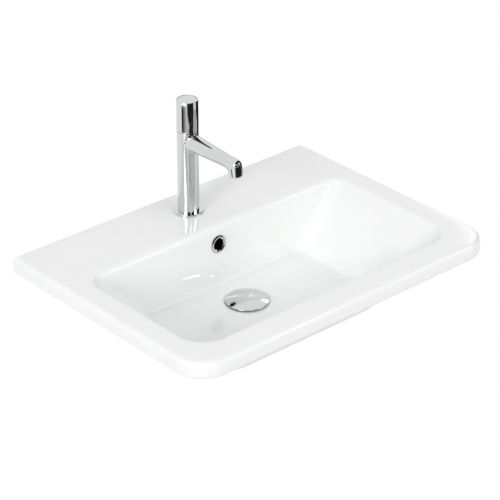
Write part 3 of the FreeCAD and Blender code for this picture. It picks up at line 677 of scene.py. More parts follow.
def bulge_ring(x):
    """The duct's outside in side view, at one place across it. Its front and its top run in the
    middle of the bowl's own wall and floor, so nothing of it comes through into the bowl."""
    past_corner = max(abs(x) - (half_bulge - BULGE_EDGE), 0)
    drop = BULGE_EDGE - math.sqrt(max(BULGE_EDGE ** 2 - past_corner ** 2, 0))
    back = duct_back + DUCT_WALL - drop
    front = WASTE[1] + math.sqrt(((RECESS_RADIUS + BOSS_RADIUS) / 2) ** 2 - x ** 2)
    floor_middle = DISH_DEPTH + BOWL_WALL / 2
    bend = (FLOOR_EDGE + UNDER_EDGE) / 2
    slab_depth = RIM - into_slab
    outline = [(back, slab_depth), (back, BOSS_DEPTH), (front, BOSS_DEPTH), (front, floor_middle)]
    for s, c in quarter(BULGE_STEPS):
        outline.append((wall_middle(floor_middle) - bend * (1 - s), floor_middle - bend * (1 - c)))
    outline.append((wall_middle(slab_depth), slab_depth))
    return np.array([(x, y, RIM - depth) for y, depth in outline])


straight = half_bulge - BULGE_EDGE
corner = [straight + BULGE_EDGE * s for s, c in quarter(BULGE_STEPS)[1:]]
middle = list(np.linspace(-straight, straight, BULGE_PLACES))
places = [-x for x in reversed(corner)] + middle + corner
bulge = skin("duct_bulge", [bulge_ring(x) for x in places])
report(bulge)

# %% [markdown]
# Two bolts through an apron hold the basin to the wall, and two webs tie the apron to the bowl.
# Faces that would lie in one plane are kept a hair apart, because a boolean can't tell such faces
# from each other.

# %% Apron and webs
APRON_HALF = 0.190
APRON_THICKNESS = 0.014
APRON_LOW = -0.033
APRON_CORNER = 0.024
WEB_THICKNESS = 0.012
WEB_FRONT_LOW = 0.007
WEB_BACK_LOW = -0.009
HAIR = 0.00002


def web(x):
    """An upright gusset between the apron and the bowl."""
    outline = [
        (-APRON_THICKNESS / 2, into_slab), (-OPENING[2], into_slab),
        (-OPENING[2], WEB_FRONT_LOW), (-APRON_THICKNESS / 2, WEB_BACK_LOW),
    ]
    rings = [np.array([(side, y, z) for y, z in outline]) for side in (x, x + WEB_THICKNESS)]
    return skin("web", rings)


def at_lower_ends(edge):
    """Whether an edge of the apron runs through it at one of its two lower corners."""
    start, end = edge.verts[0].co, edge.verts[1].co
    return start.z < 0 and end.z < 0 and abs(start.y - end.y) > APRON_THICKNESS / 2


apron_corners = (-APRON_HALF, -APRON_THICKNESS, APRON_LOW), (APRON_HALF, -HAIR, into_slab)
apron = block("apron", *apron_corners, APRON_CORNER, at_lower_ends)
webs = [web(HAIR - APRON_HALF), web(APRON_HALF - WEB_THICKNESS - HAIR)]
combine(basin, [bulge, apron, *webs], "UNION")
report(basin)

# %% [markdown]
# The holes are cut next: the duct's inside, the passage from it to the waste, the overflow hole,
# which is square to the sloping wall, the tap hole, and two holes for the wall bolts.

# %% Holes of the basin
OVERFLOW_RADIUS = 0.012
OVERFLOW_CUT = (-0.015, 0.020)  # along the hole, from behind the wall into the bowl
PASSAGE_LOW, PASSAGE_HIGH = -0.044, -0.035
DUCT_CEILING = 0.067
BOLT_HALF_SPACING = 0.140
BOLT_RADIUS = 0.007
TAP = Vector((0.0, -0.0637, RIM))
TAP_HOLE_RADIUS = 0.0175
OVERRUN = 0.004
ROD_SIDES = 64


def rod(name, radius, place, low, high, turn=None):
    """A round bar along +Z or, where a matrix turns it, along another axis."""
    work = bmesh.new()
    matrix = Matrix.Translation(Vector(place)) @ (turn or Matrix.Identity(4))
    matrix = matrix @ Matrix.Translation((0, 0, (low + high) / 2))
    bmesh.ops.create_cone(
        work, cap_ends=True, segments=ROD_SIDES, radius1=radius, radius2=radius,
        depth=high - low, matrix=matrix,
    )
    return from_work(name, work)


half_duct = DUCT_WIDTH / 2
duct_corners = (-half_duct, duct_back - DUCT_ROOM, PASSAGE_LOW), (half_duct, duct_back, DUCT_CEILING)
passage_corners = (-half_duct / 2, WASTE[1], PASSAGE_LOW), (half_duct / 2, duct_back, PASSAGE_HIGH)
overflow_place = Vector((0, -OPENING[2] - BACK_RUN * OVERFLOW_DEPTH, RIM - OVERFLOW_DEPTH))
overflow_turn = Matrix.Rotation(math.pi / 2 - math.atan(BACK_RUN), 4, "X")
to_front = Matrix.Rotation(math.pi / 2, 4, "X")
removed = [
    block("duct", *duct_corners),
    block("passage", *passage_corners),
    rod("overflow_hole", OVERFLOW_RADIUS, overflow_place, *OVERFLOW_CUT, overflow_turn),
    rod("tap_hole", TAP_HOLE_RADIUS, TAP, -SLAB_HEIGHT, OVERRUN),
]
for x in (-BOLT_HALF_SPACING, BOLT_HALF_SPACING):
    bolt_ends = (-OVERRUN, APRON_THICKNESS + OVERRUN)
    removed.append(rod("bolt_hole", BOLT_RADIUS, (x, 0, 0), *bolt_ends, to_front))
combine(basin, removed, "DIFFERENCE")
report(tidy(basin))

# %% [markdown]
# The tap's column and spout are one polished casting. Chrome mirrors every facet, so the spout is
# not taken from a coarse mesh: its sections are worked out again, closely spaced, along the
# straight run, the bend and the nose. The bend turns about a pivot below the spout, and both its
# inside and its outside are round. Sizes of the tap are in millimetres above the deck.

# %% Sections of the spout
SPOUT_HEIGHT = 124.0
SPOUT_REACH = 114.0
SPOUT_DROOP = 2.0
OUTLET_HEIGHT = 106.0
NOSE_LEAN = math.radians(9.0)
ROOT_RADIUS = 14.0
TIP_RADIUS = 9.9
NOSE_RADIUS = 11.3
BEND_INNER = 8.0
BEND_OUTER = 9.0
SECTION_POINTS = 120


def flat(y, z):
    """A point or a direction in the upright plane through the spout's middle."""
    return Vector((0.0, y, z))


fall = math.atan(SPOUT_DROOP / SPOUT_REACH)
along, under = flat(-math.cos(fall), -math.sin(fall)), flat(math.sin(fall), -math.cos(fall))
down = flat(-math.sin(NOSE_LEAN), -math.cos(NOSE_LEAN))
behind = flat(math.cos(NOSE_LEAN), -math.sin(NOSE_LEAN))
spout_root, spout_end = flat(0, SPOUT_HEIGHT), flat(-SPOUT_REACH, OUTLET_HEIGHT)
to_nose, to_tip = behind * (NOSE_RADIUS + BEND_INNER), under * (TIP_RADIUS + BEND_INNER)
nose_length = (spout_end + to_nose - to_tip - spout_root).dot(under) / down.dot(under)
pivot = spout_end + to_nose - down * nose_length
sweep = math.acos(along.dot(down))


def bend_reach(angle):
    """How far the bend's outside is from the pivot: straight, then round the corner, then
    straight again."""
    tip, nose = BEND_INNER + 2 * TIP_RADIUS, BEND_INNER + 2 * NOSE_RADIUS
    across = (nose - tip * math.cos(sweep)) / math.sin(sweep)
    back = (tip - nose * math.cos(sweep)) / math.sin(sweep)
    inset = BEND_OUTER * math.tan(sweep / 2)
    if tip * math.tan(angle) < across - inset:
        return tip / math.cos(angle)
    if nose * math.tan(sweep - angle) < back - inset:
        return nose / math.cos(sweep - angle)
    start, side = tip - BEND_OUTER, across - inset
    ahead = start * math.cos(angle) + side * math.sin(angle)
    aside = start * math.sin(angle) - side * math.cos(angle)
    return ahead + math.sqrt(BEND_OUTER ** 2 - aside ** 2)


def section(centre, outwards, half_height, half_width):
    """One ring of the spout, taller than wide round the bend."""
    ring = []
    for angle in around(SECTION_POINTS):
        aside = Vector((half_width * math.sin(angle), 0, 0))
        ring.append(centre + outwards * half_height * math.cos(angle) + aside)
    return np.array([tuple(point) for point in ring])


def bend_section(share):
    """The section part of the way round the bend."""
    angle = sweep * share
    outwards = under * -math.cos(angle) + along * math.sin(angle)
    reach = bend_reach(angle)
    middle = pivot + outwards * (reach + BEND_INNER) / 2
    width = TIP_RADIUS + (NOSE_RADIUS - TIP_RADIUS) * share
    return section(middle, outwards, (reach - BEND_INNER) / 2, width)


print("the bend turns through", round(math.degrees(sweep), 1), "degrees")

# %% [markdown]
# Where the spout meets the column, each line along the spout runs out in a small curve onto the
# column, as a casting's fillet does. The curve ends a hair inside the column, so that a boolean
# joins the two cleanly.

# %% Root of the spout
COLUMN_RADIUS = 17.2
ROOT_BLEND = 3.5
BLEND_DEPTH = 0.03
BLEND_ROWS = 9
INNER_SHARE = 0.7


def root_blend(first, second):
    """Rings that run from inside the column, out along it, and onto the spout's own lines."""
    lines = second - first
    lines = lines / np.linalg.norm(lines, axis=1)[:, None]
    radius = COLUMN_RADIUS - BLEND_DEPTH
    # Each line meets the column where its level distance from the axis is the radius.
    level, start = lines[:, :2], first[:, :2]
    squared, mixed = (level ** 2).sum(1), (level * start).sum(1)
    short = (start ** 2).sum(1) - radius ** 2
    reach = (np.sqrt(mixed ** 2 - squared * short) - mixed) / squared
    meet = first + lines * reach[:, None]
    spread = meet - meet.mean(0)
    spread[:, 1] = 0
    spread = spread / np.linalg.norm(spread, axis=1)[:, None] * ROOT_BLEND
    turn = np.arctan2(meet[:, 0], -meet[:, 1]) + spread[:, 0] / COLUMN_RADIUS
    height = meet[:, 2] + spread[:, 2]
    on_column = np.column_stack([radius * np.sin(turn), -radius * np.cos(turn), height])
    on_spout = meet + lines * ROOT_BLEND
    rings = [on_column * [INNER_SHARE, INNER_SHARE, 1]]
    for share in np.linspace(0, 1, BLEND_ROWS):
        near = on_column * (1 - share) ** 2 + meet * 2 * share * (1 - share)
        rings.append(near + on_spout * share ** 2)
    return rings


spout_tip = bend_section(0.0)
spout_rings = root_blend(section(spout_root, -under, ROOT_RADIUS, ROOT_RADIUS), spout_tip)
print("rings of the root", len(spout_rings))

# %% [markdown]
# The rings go on along the straight run and round the bend. The nose ends in a small round edge
# and is open below, where the aerator sits.

# %% Spout
SPOUT_ROWS, BEND_ROWS, NOSE_ROWS = 24, 28, 6
NOSE_BORE = 9.0
NOSE_BORE_DEPTH = 8.0
NOSE_EDGE = 0.5
NOSE_STEPS = 3


def nose_section(depth, radius):
    """A round section of the nose, so far up from its end."""
    return section(spout_end - down * depth, -behind, radius, radius)


spout_rings += between(spout_rings[-1], spout_tip, SPOUT_ROWS)
spout_rings += [bend_section(step / BEND_ROWS) for step in range(BEND_ROWS + 1)]
nose_edge = []
for s, c in quarter(NOSE_STEPS):
    nose_edge.append(nose_section(NOSE_EDGE * (1 - s), NOSE_RADIUS - NOSE_EDGE * (1 - c)))
spout_rings += between(spout_rings[-1], nose_edge[0], NOSE_ROWS) + nose_edge
spout_rings += [nose_section(depth, NOSE_BORE) for depth in (0.0, NOSE_BORE_DEPTH)]
on_deck = Matrix.Translation(TAP)
spout = skin("spout", [ring * MM for ring in spout_rings])
spout.data.transform(on_deck)
report(spout)

# %% [markdown]
# The column is turned from a profile, and so are most other pieces of metal here. A profile is a
# row of corners with a radius, a height and a rounding, because a real edge is never quite sharp
# and its highlight shows that. Beside each rounding a second point holds the straight side flat.

# %% Turned profiles, and the column
FINE_TURN = 192
HOLD = 0.02
CRISP, SOFT = 0.3, 0.5  # usual roundings of metal edges
COLUMN_LOW, COLUMN_TOP = 3.4, 141.5
COLUMN_BORE = 0.5


def rounded_profile(corners):
    """A closed outline of (radius, height, rounding) corners, in millimetres, as points."""
    points = []
    for index, (x, y, rounding) in enumerate(corners):
        here = Vector((x, y))
        before = (Vector(corners[index - 1][:2]) - here).normalized()
        after = (Vector(corners[(index + 1) % len(corners)][:2]) - here).normalized()
        if rounding == 0:
            points.append(here)
            continue
        turn = before.angle(after)
        reach = rounding / math.tan(turn / 2)
        start, end = here + before * reach, here + after * reach
        centre = here + (before + after).normalized() * rounding / math.sin(turn / 2)
        first = math.atan2(start.y - centre.y, start.x - centre.x)
        sweep = math.atan2(end.y - centre.y, end.x - centre.x) - first
        sweep = (sweep + math.pi) % math.tau - math.pi
        points.append(start + before * HOLD)
        for step in range(EDGE_STEPS + 1):
            angle = first + sweep * step / EDGE_STEPS
            points.append(centre + Vector((math.cos(angle), math.sin(angle))) * rounding)
        points.append(end + after * HOLD)
    return points


def turned(name, corners, place, segments):
    """Turns a profile with rounded corners about an upright axis, and puts it in place."""
    profile = rounded_profile(corners)
    rings = []
    for angle in around(segments):
        ring = [(x * math.cos(angle), x * math.sin(angle), z) for x, z in profile]
        rings.append(np.array(ring) * MM)
    piece = skin(name, rings, loop=True)
    piece.data.transform(place)
    return piece


tap_body = turned("tap_casting", [
    (COLUMN_BORE, COLUMN_LOW, 0), (COLUMN_RADIUS, COLUMN_LOW, CRISP),
    (COLUMN_RADIUS, COLUMN_TOP, CRISP), (COLUMN_BORE, COLUMN_TOP, 0),
], on_deck, FINE_TURN)
combine(tap_body, [spout], "UNION")
report(tidy(tap_body))

# %% [markdown]
# The other turned parts of the tap are a flat base ring, the temperature sleeve that turns above
# the seam, and the push button that fills the sleeve's top. The sleeve has a hole at its back,
# where a key reaches the screw that holds it.

# %% Base ring, knob and button
MEDIUM_TURN = 160
BASE_RADIUS, BASE_BORE = 23.6, 14.2
BASE_LOW, BASE_HEIGHT = 0.3, 3.4
BASE_FOOT_EDGE, BASE_TOP_EDGE = 0.2, 0.9
KNOB_RADIUS, KNOB_BORE = 17.3, 15.0
KNOB_BASE, KNOB_TOP = 142.1, 194.0
KNOB_FOOT_EDGE, KNOB_SEAM_EDGE, KNOB_TOP_EDGE, KNOB_LIP_EDGE = 0.2, 0.35, 0.7, 0.1
WEB_LOW, WEB_TOP = 160.0, 164.0
HUB_LOW, HUB_TOP, HUB_RADIUS = 154.1, 170.1, 8.5
SPINDLE_RADIUS = 4.5
SCREW_HEIGHT, SCREW_RADIUS, SCREW_ENDS = 157.1, 2.0, (0.004, 0.009)
KEY_HOLE_RADIUS, KEY_HOLE_ENDS = 2.2, (0.0087, 0.019)
BUTTON_RADIUS, BUTTON_BORE, BUTTON_PIN = 14.75, 13.1, 4.0
BUTTON_SKIRT, BUTTON_UNDER, BUTTON_TOP = 179.3, 191.3, 193.7
AXIS = 0.01

base_ring = turned("base_flange", [
    (BASE_BORE, BASE_LOW, 0), (BASE_RADIUS, BASE_LOW, BASE_FOOT_EDGE),
    (BASE_RADIUS, BASE_HEIGHT, BASE_TOP_EDGE), (BASE_BORE, BASE_HEIGHT, 0),
], on_deck, MEDIUM_TURN)
knob = turned("temperature_sleeve", [
    (KNOB_BORE, KNOB_BASE, KNOB_FOOT_EDGE), (KNOB_RADIUS, KNOB_BASE, KNOB_SEAM_EDGE),
    (KNOB_RADIUS, KNOB_TOP, KNOB_TOP_EDGE), (KNOB_BORE, KNOB_TOP, KNOB_LIP_EDGE),
    (KNOB_BORE, WEB_TOP, SOFT), (HUB_RADIUS, WEB_TOP, SOFT),
    (HUB_RADIUS, HUB_TOP, CRISP), (SPINDLE_RADIUS, HUB_TOP, 0),
    (SPINDLE_RADIUS, HUB_LOW, 0), (HUB_RADIUS, HUB_LOW, CRISP),
    (HUB_RADIUS, WEB_LOW, SOFT), (KNOB_BORE, WEB_LOW, SOFT),
], on_deck, FINE_TURN)
to_back = Matrix.Rotation(-math.pi / 2, 4, "X")
screw_axis = TAP + Vector((0, 0, SCREW_HEIGHT * MM))
combine(knob, [
    rod("screw_hole", SCREW_RADIUS * MM, screw_axis, *SCREW_ENDS, to_back),
    rod("key_hole", KEY_HOLE_RADIUS * MM, screw_axis, *KEY_HOLE_ENDS, to_back),
], "DIFFERENCE")
tidy(knob)
button = turned("push_cap", [
    (AXIS, BUTTON_UNDER, 0), (BUTTON_PIN, BUTTON_UNDER, SOFT), (BUTTON_BORE, BUTTON_UNDER, SOFT),
    (BUTTON_BORE, BUTTON_SKIRT, CRISP), (BUTTON_RADIUS, BUTTON_SKIRT, CRISP),
    (BUTTON_RADIUS, BUTTON_TOP, CRISP), (AXIS, BUTTON_TOP, 0),
], on_deck, MEDIUM_TURN)
report(base_ring, knob, button)

# %% [markdown]
# Two enamel dots in the sleeve, red and blue, say which way is hot. Enamel stands a little proud
# of the metal, so each is a small dome whose axis points out of the sleeve.

# %% Temperature dots
DOT_RADIUS = 1.3
DOT_HEIGHT = 5.0
DOT_ANGLE = 34
DOT_DEPTH = 0.6
DOT_RIM, DOT_RIM_EDGE, DOT_CROWN = 0.08, 0.06, 0.16
DOT_TURN = 40


def dot(name, side):
    """An enamel dot, left or right of the sleeve's front."""
    outwards = direction(side * DOT_ANGLE, 0)
    middle = TAP + outwards * KNOB_RADIUS * MM + Vector((0, 0, (KNOB_BASE + DOT_HEIGHT) * MM))
    place = Matrix.Translation(middle) @ outwards.to_track_quat("Z", "Y").to_matrix().to_4x4()
    return turned(name, [
        (AXIS, -DOT_DEPTH, 0), (DOT_RADIUS, -DOT_DEPTH, 0),
        (DOT_RADIUS, DOT_RIM, DOT_RIM_EDGE), (AXIS, DOT_CROWN, 0),
    ], place, DOT_TURN)


hot_dot, cold_dot = dot("hot_dot", -1), dot("cold_dot", 1)
report(hot_dot, cold_dot)

# %% [markdown]
# A ring trims the overflow. Its face rises in two slopes to a narrow crest, and a sleeve behind it
# goes into the ceramic. The plug is a shallow dome, with a rim that is turned down and stands
# clear of the basin, so water runs in under it.

# %% Overflow ring and plug cover
RING_RADIUS, RING_BORE, RING_HEIGHT, RING_EDGE_HEIGHT = 15.0, 9.4, 3.0, 1.2
RING_CREST, RING_CREST_HALF = (RING_RADIUS + RING_BORE) / 2, 0.8
RING_EDGE = 0.4
RING_TURN = 128
SLEEVE_RADIUS, SLEEVE_LENGTH = 11.7, 12.0
PLUG_RADIUS, PLUG_GAP, PLUG_UNDER, PLUG_RISE = 35.0, 1.2, 3.0, 4.7
PLUG_RIM, PLUG_CORE, PLUG_BOSS, STEM_RADIUS = 2.5, 18.6, 7.0, 3.0
PLUG_BOSS_LOW, PLUG_CORE_LOW, STEM_TOP = -5.0, 0.0, 0.0
PLUG_SHOULDER = 0.9
DOME_MARGIN, DOME_ROWS = 3.0, 26
FLANGE_RISE = 0.004
FLANGE_TOP = Vector((0, WASTE[1], RIM - RECESS_DEPTH + FLANGE_RISE))

overflow_trim = turned("overflow_trim", [
    (RING_BORE, -SLEEVE_LENGTH, 0), (SLEEVE_RADIUS, -SLEEVE_LENGTH, 0), (SLEEVE_RADIUS, 0, 0),
    (RING_RADIUS, 0, 0), (RING_RADIUS, RING_EDGE_HEIGHT, RING_EDGE),
    (RING_CREST + RING_CREST_HALF, RING_HEIGHT, SOFT),
    (RING_CREST - RING_CREST_HALF, RING_HEIGHT, SOFT), (RING_BORE, RING_EDGE_HEIGHT, RING_EDGE),
], Matrix.Translation(overflow_place) @ overflow_turn, RING_TURN)
dome_radius = (PLUG_RADIUS ** 2 + PLUG_RISE ** 2) / 2 / PLUG_RISE
dome = []
for radius in np.linspace(PLUG_RADIUS - DOME_MARGIN, AXIS, DOME_ROWS):
    height = PLUG_UNDER + PLUG_RISE - dome_radius + math.sqrt(dome_radius ** 2 - radius ** 2)
    dome.append((radius, height, 0))
on_flange = Matrix.Translation(FLANGE_TOP)
plug_dome = turned("plug_dome", [
    (STEM_RADIUS, PLUG_BOSS_LOW, 0), (PLUG_BOSS, PLUG_BOSS_LOW, SOFT),
    (PLUG_BOSS, PLUG_CORE_LOW, 0), (PLUG_CORE, PLUG_CORE_LOW, SOFT), (PLUG_CORE, PLUG_UNDER, 0),
    (PLUG_RADIUS - PLUG_RIM, PLUG_UNDER, CRISP), (PLUG_RADIUS - PLUG_RIM, PLUG_GAP, CRISP),
    (PLUG_RADIUS, PLUG_GAP, SOFT), (PLUG_RADIUS, PLUG_UNDER, PLUG_SHOULDER),
    *dome, (AXIS, STEM_TOP, 0), (STEM_RADIUS, STEM_TOP, 0),
], on_flange, FINE_TURN)
report(overflow_trim, plug_dome)

# %% [markdown]
# The waste's tail and the tap's shank carry screw threads. A thread is a groove that climbs as it
# goes round, so each point of a turned surface moves in by how far it lies from the crest at its
# own angle and height. The groove fades out at both ends, as it does where the cutter leaves.

# %% Threads
THREAD_POINTS = 72
ROWS_PER_TURN = 6
CREST_SHARE = 0.14


def level_ring(reach, height, count):
    """A level ring about the axis. Its points may each have a reach of their own."""
    angles = around(count)
    return np.column_stack([reach * np.cos(angles), reach * np.sin(angles), np.full(count, height)])


def thread_rows(radius, depth, pitch, low, high):
    """Rings of a threaded surface from one height up to another, in millimetres."""
    rows = []
    for z in np.linspace(low, high, round((high - low) / pitch * ROWS_PER_TURN) + 1):
        climb = (z / pitch - around(THREAD_POINTS) / math.tau) % 1.0
        off_crest = 1 - np.abs(2 * climb - 1) - CREST_SHARE
        groove = np.clip(off_crest / (1 - 2 * CREST_SHARE), 0, 1)
        fade = max(min(1.0, (z - low) / pitch, (high - z) / pitch), 0)
        rows.append(level_ring(radius - depth * groove * fade, z, THREAD_POINTS))
    return rows


def plain_rows(*places):
    """Plain rings at (radius, height) places."""
    return [level_ring(radius, height, THREAD_POINTS) for radius, height in places]


def closed_piece(name, rows, place):
    """Joins rings in millimetres in a loop, and puts the piece in place."""
    piece = skin(name, [row * MM for row in rows], loop=True)
    piece.data.transform(place)
    return piece


print("points of a thread's ring", THREAD_POINTS)

# %% [markdown]
# The waste's tail hangs from a flange whose seat slopes into the bore. Two slots across it let the
# overflow's water in, and a cross with a hub carries the push-open mechanism. A groove parts its
# thread in two.

# %% Waste tail
WASTE_THREAD, WASTE_BORE, WASTE_LOW = 20.955, 18.4, -92.0
WASTE_PITCH, WASTE_THREAD_DEPTH, WASTE_CHAMFER = 2.309, 1.2, 1.0
RELIEF_LOW, RELIEF_TOP, RELIEF_DEPTH = -60.0, -57.0, 1.2
FLANGE_RADIUS, FLANGE_THICKNESS, FLANGE_EDGE, FLANGE_CHAMFER = 31.5, 2.5, 1.2, 0.2
SEAT_RADIUS, SEAT_DEPTH = 20.6, 5.0
SLOT_HALF, CROSS_HALF, CROSS_LOW, CROSS_TOP = 6.5, 2.0, -35.0, -27.0
CROSS_HUB, HUB_LAP = 9.5, 0.01
BARREL_HOLE, BARREL_OVERRUN = 7.1, 1.0
SLOT_OVERRUN = 1.0


def crossing(name, reach, half, low, high):
    """Two upright slabs that cross at the waste's axis, between two heights in metres."""
    slabs = []
    for x, y in ((reach, half), (half, reach)):
        spread = Vector((x, y, 0)) * MM
        level = Vector((0, WASTE[1], 0))
        corners = level - spread + Vector((0, 0, low)), level + spread + Vector((0, 0, high))
        slabs.append(block(name, *corners))
    return slabs


def waste_rod(name, radius, past):
    """A round bar on the waste's axis, as long as the cross is high and a little more."""
    return rod(name, radius * MM, FLANGE_TOP, (CROSS_LOW - past) * MM, (CROSS_TOP + past) * MM)


thread = (WASTE_THREAD, WASTE_THREAD_DEPTH, WASTE_PITCH)
relief = WASTE_THREAD - RELIEF_DEPTH
waste_tail = closed_piece("waste_tail", [
    *plain_rows((WASTE_BORE, WASTE_LOW), (WASTE_THREAD - WASTE_CHAMFER, WASTE_LOW)),
    *thread_rows(*thread, WASTE_LOW + WASTE_CHAMFER, RELIEF_LOW),
    *plain_rows((relief, RELIEF_LOW), (relief, RELIEF_TOP)),
    *thread_rows(*thread, RELIEF_TOP, -FLANGE_THICKNESS),
    *plain_rows(
        (FLANGE_RADIUS - FLANGE_CHAMFER, -FLANGE_THICKNESS),
        (FLANGE_RADIUS, FLANGE_CHAMFER - FLANGE_THICKNESS), (FLANGE_RADIUS, -FLANGE_EDGE),
        (FLANGE_RADIUS - FLANGE_EDGE, 0), (SEAT_RADIUS, 0), (WASTE_BORE, -SEAT_DEPTH),
    ),
], on_flange)
arm_heights = [FLANGE_TOP.z + height * MM for height in (CROSS_LOW, CROSS_TOP)]
cuts = crossing("slot", WASTE_THREAD + SLOT_OVERRUN, SLOT_HALF, PASSAGE_LOW, PASSAGE_HIGH)
arms = crossing("arm", (WASTE_THREAD + WASTE_BORE) / 2, CROSS_HALF, *arm_heights)
combine(waste_tail, cuts, "DIFFERENCE")
combine(waste_tail, [*arms, waste_rod("hub", CROSS_HUB, HUB_LAP)], "UNION")
combine(waste_tail, [waste_rod("barrel_hole", BARREL_HOLE, BARREL_OVERRUN)], "DIFFERENCE")
report(tidy(waste_tail))

# %% [markdown]
# The tap's shank is a plain threaded tube. It goes through the deck, and the tap's nut draws it
# down.

# %% Tap shank
SHANK_RADIUS, SHANK_BORE, SHANK_LOW, SHANK_TOP = 14.0, 12.0, -52.0, 27.4
SHANK_THREAD_DEPTH, SHANK_PITCH = 0.85, 1.5
SHANK_LOW_CHAMFER, SHANK_TOP_CHAMFER = 0.8, 0.5

shank_foot, shank_head = SHANK_LOW + SHANK_LOW_CHAMFER, SHANK_TOP - SHANK_TOP_CHAMFER
shank = closed_piece("threaded_shank", [
    *plain_rows((SHANK_BORE, SHANK_LOW), (SHANK_RADIUS - SHANK_LOW_CHAMFER, SHANK_LOW)),
    *thread_rows(SHANK_RADIUS, SHANK_THREAD_DEPTH, SHANK_PITCH, shank_foot, shank_head),
    *plain_rows((SHANK_RADIUS - SHANK_TOP_CHAMFER, SHANK_TOP), (SHANK_BORE, SHANK_TOP)),
], on_deck)
report(shank)

# %% [markdown]
# The two nuts are hexagons whose corners are turned off at both ends. Each ring of such a nut
# follows the hexagon, but no further out than the turning cone allows at its height.

# %% Nuts
NUT_POINTS = 144
NUT_CORNER = 1.6
NUT_CORNER_STEPS = 3
NUT_SLOPE = math.radians(30)
NUT_PLAY = 0.1
WASTE_NUT_FLATS, TAP_NUT_FLATS = 50.0, 36.0


def foot_of(node):
    """The middle of a node's lower end, and its size."""
    low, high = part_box(node)
    return Vector(((low.x + high.x) / 2, (low.y + high.y) / 2, low.z)), high - low


def nut(name, node, flats, bore):
    """A nut in the place of its node, so wide across its flats."""
    foot, size = foot_of(node)
    height = size.z / MM
    hexagon = flats / 2 / np.cos(around(NUT_POINTS) % (math.pi / 3) - math.pi / 6)
    steps = [NUT_CORNER * step / NUT_CORNER_STEPS for step in range(NUT_CORNER_STEPS + 1)]
    rows = [level_ring(bore, 0, NUT_POINTS)]
    for z in (*steps, *(height - step for step in reversed(steps))):
        cone = flats / 2 + min(z, height - z) / math.tan(NUT_SLOPE)
        rows.append(level_ring(np.minimum(hexagon, cone), z, NUT_POINTS))
    rows.append(level_ring(bore, height, NUT_POINTS))
    return closed_piece(name, rows, Matrix.Translation(foot))


back_nut = nut("back_nut", "waste_nut", WASTE_NUT_FLATS, WASTE_THREAD + NUT_PLAY)
tap_nut = nut("tap_nut", "clamp_nut", TAP_NUT_FLATS, SHANK_RADIUS + NUT_PLAY)
report(back_nut, tap_nut)

# %% [markdown]
# White glaze is a dense white body under a clear gloss coat. A Principled shader with a low
# roughness shows that. Real glaze is never quite flat: it settles in slow waves, a few
# centimetres long and some hundredths of a millimetre deep, which bend the reflections a little.

# %% Ceramic material
GLAZE_TONES = ((0.3, (0.912, 0.923, 0.915)), (0.7, (0.924, 0.932, 0.926)))
GLAZE_WAVES, GLAZE_PEEL = 14.0, 220.0  # to the metre
WAVE_SHARE, PEEL_SHARE = 0.25, 0.012
GLAZE_BUMP, GLAZE_DEPTH = 0.06, 0.002
GLAZE_HAZE, GLAZE_ROUGHNESS = 0.02, 0.05


def glazed_ceramic():
    """White glaze with slow waves and a fine grain."""
    material, make = new_material("glazed_ceramic")
    place = make.add("ShaderNodeTexCoord", output="Object")
    waves, peel = [
        make.add("ShaderNodeTexNoise", Vector=place, Scale=scale, Detail=1.0, Roughness=0.4)
        for scale in (GLAZE_WAVES, GLAZE_PEEL)
    ]
    height = waves * WAVE_SHARE + peel * PEEL_SHARE
    surface = make.add("ShaderNodeBump", Height=height, Strength=GLAZE_BUMP, Distance=GLAZE_DEPTH)
    tint = make.add("ShaderNodeValToRGB", {"stops": GLAZE_TONES}, Fac=waves)
    shader = make.add(
        "ShaderNodeBsdfPrincipled", Base_Color=tint, IOR=1.5, Normal=surface,
        Roughness=peel * GLAZE_HAZE + GLAZE_ROUGHNESS,
    )
    make.add("ShaderNodeOutputMaterial", Surface=shader)
    return material


ceramic = glazed_ceramic()
print("glaze", ceramic.name)

# %% [markdown]
# Chrome plate is a mirror with almost no colour of its own, here a trace of green. Its polish
# leaves a faint haze.

# %% Chrome
CHROME_COLOUR = (0.65, 0.67, 0.66, 1.0)
CHROME_CLOUDS = 60.0
CHROME_HAZE, CHROME_ROUGHNESS = 0.02, 0.03


def chrome_plate():
    """A polished mirror with a faint haze."""
    material, make = new_material("chrome_plate")
    place = make.add("ShaderNodeTexCoord", output="Object")
    haze = make.add("ShaderNodeTexNoise", Vector=place, Scale=CHROME_CLOUDS, Detail=2.0)
    shader = make.add(
        "ShaderNodeBsdfPrincipled", Base_Color=CHROME_COLOUR, Metallic=1.0,
        Roughness=haze * CHROME_HAZE + CHROME_ROUGHNESS,
    )
    make.add("ShaderNodeOutputMaterial", Surface=shader)
    return material


chrome = chrome_plate()
print("chrome", chrome.name)

# %% [markdown]
# What lies under the basin and inside the tap is plainer: turned brass, zinc-plated steel, black
# rubber, moulded plastic, lapped discs and enamel. Each has a colour that wanders a little, a
# roughness that follows a grain, and a bump as deep as that grain is on the real thing. One
# function makes them all from these facts. The grain of turned brass is drawn out round it.

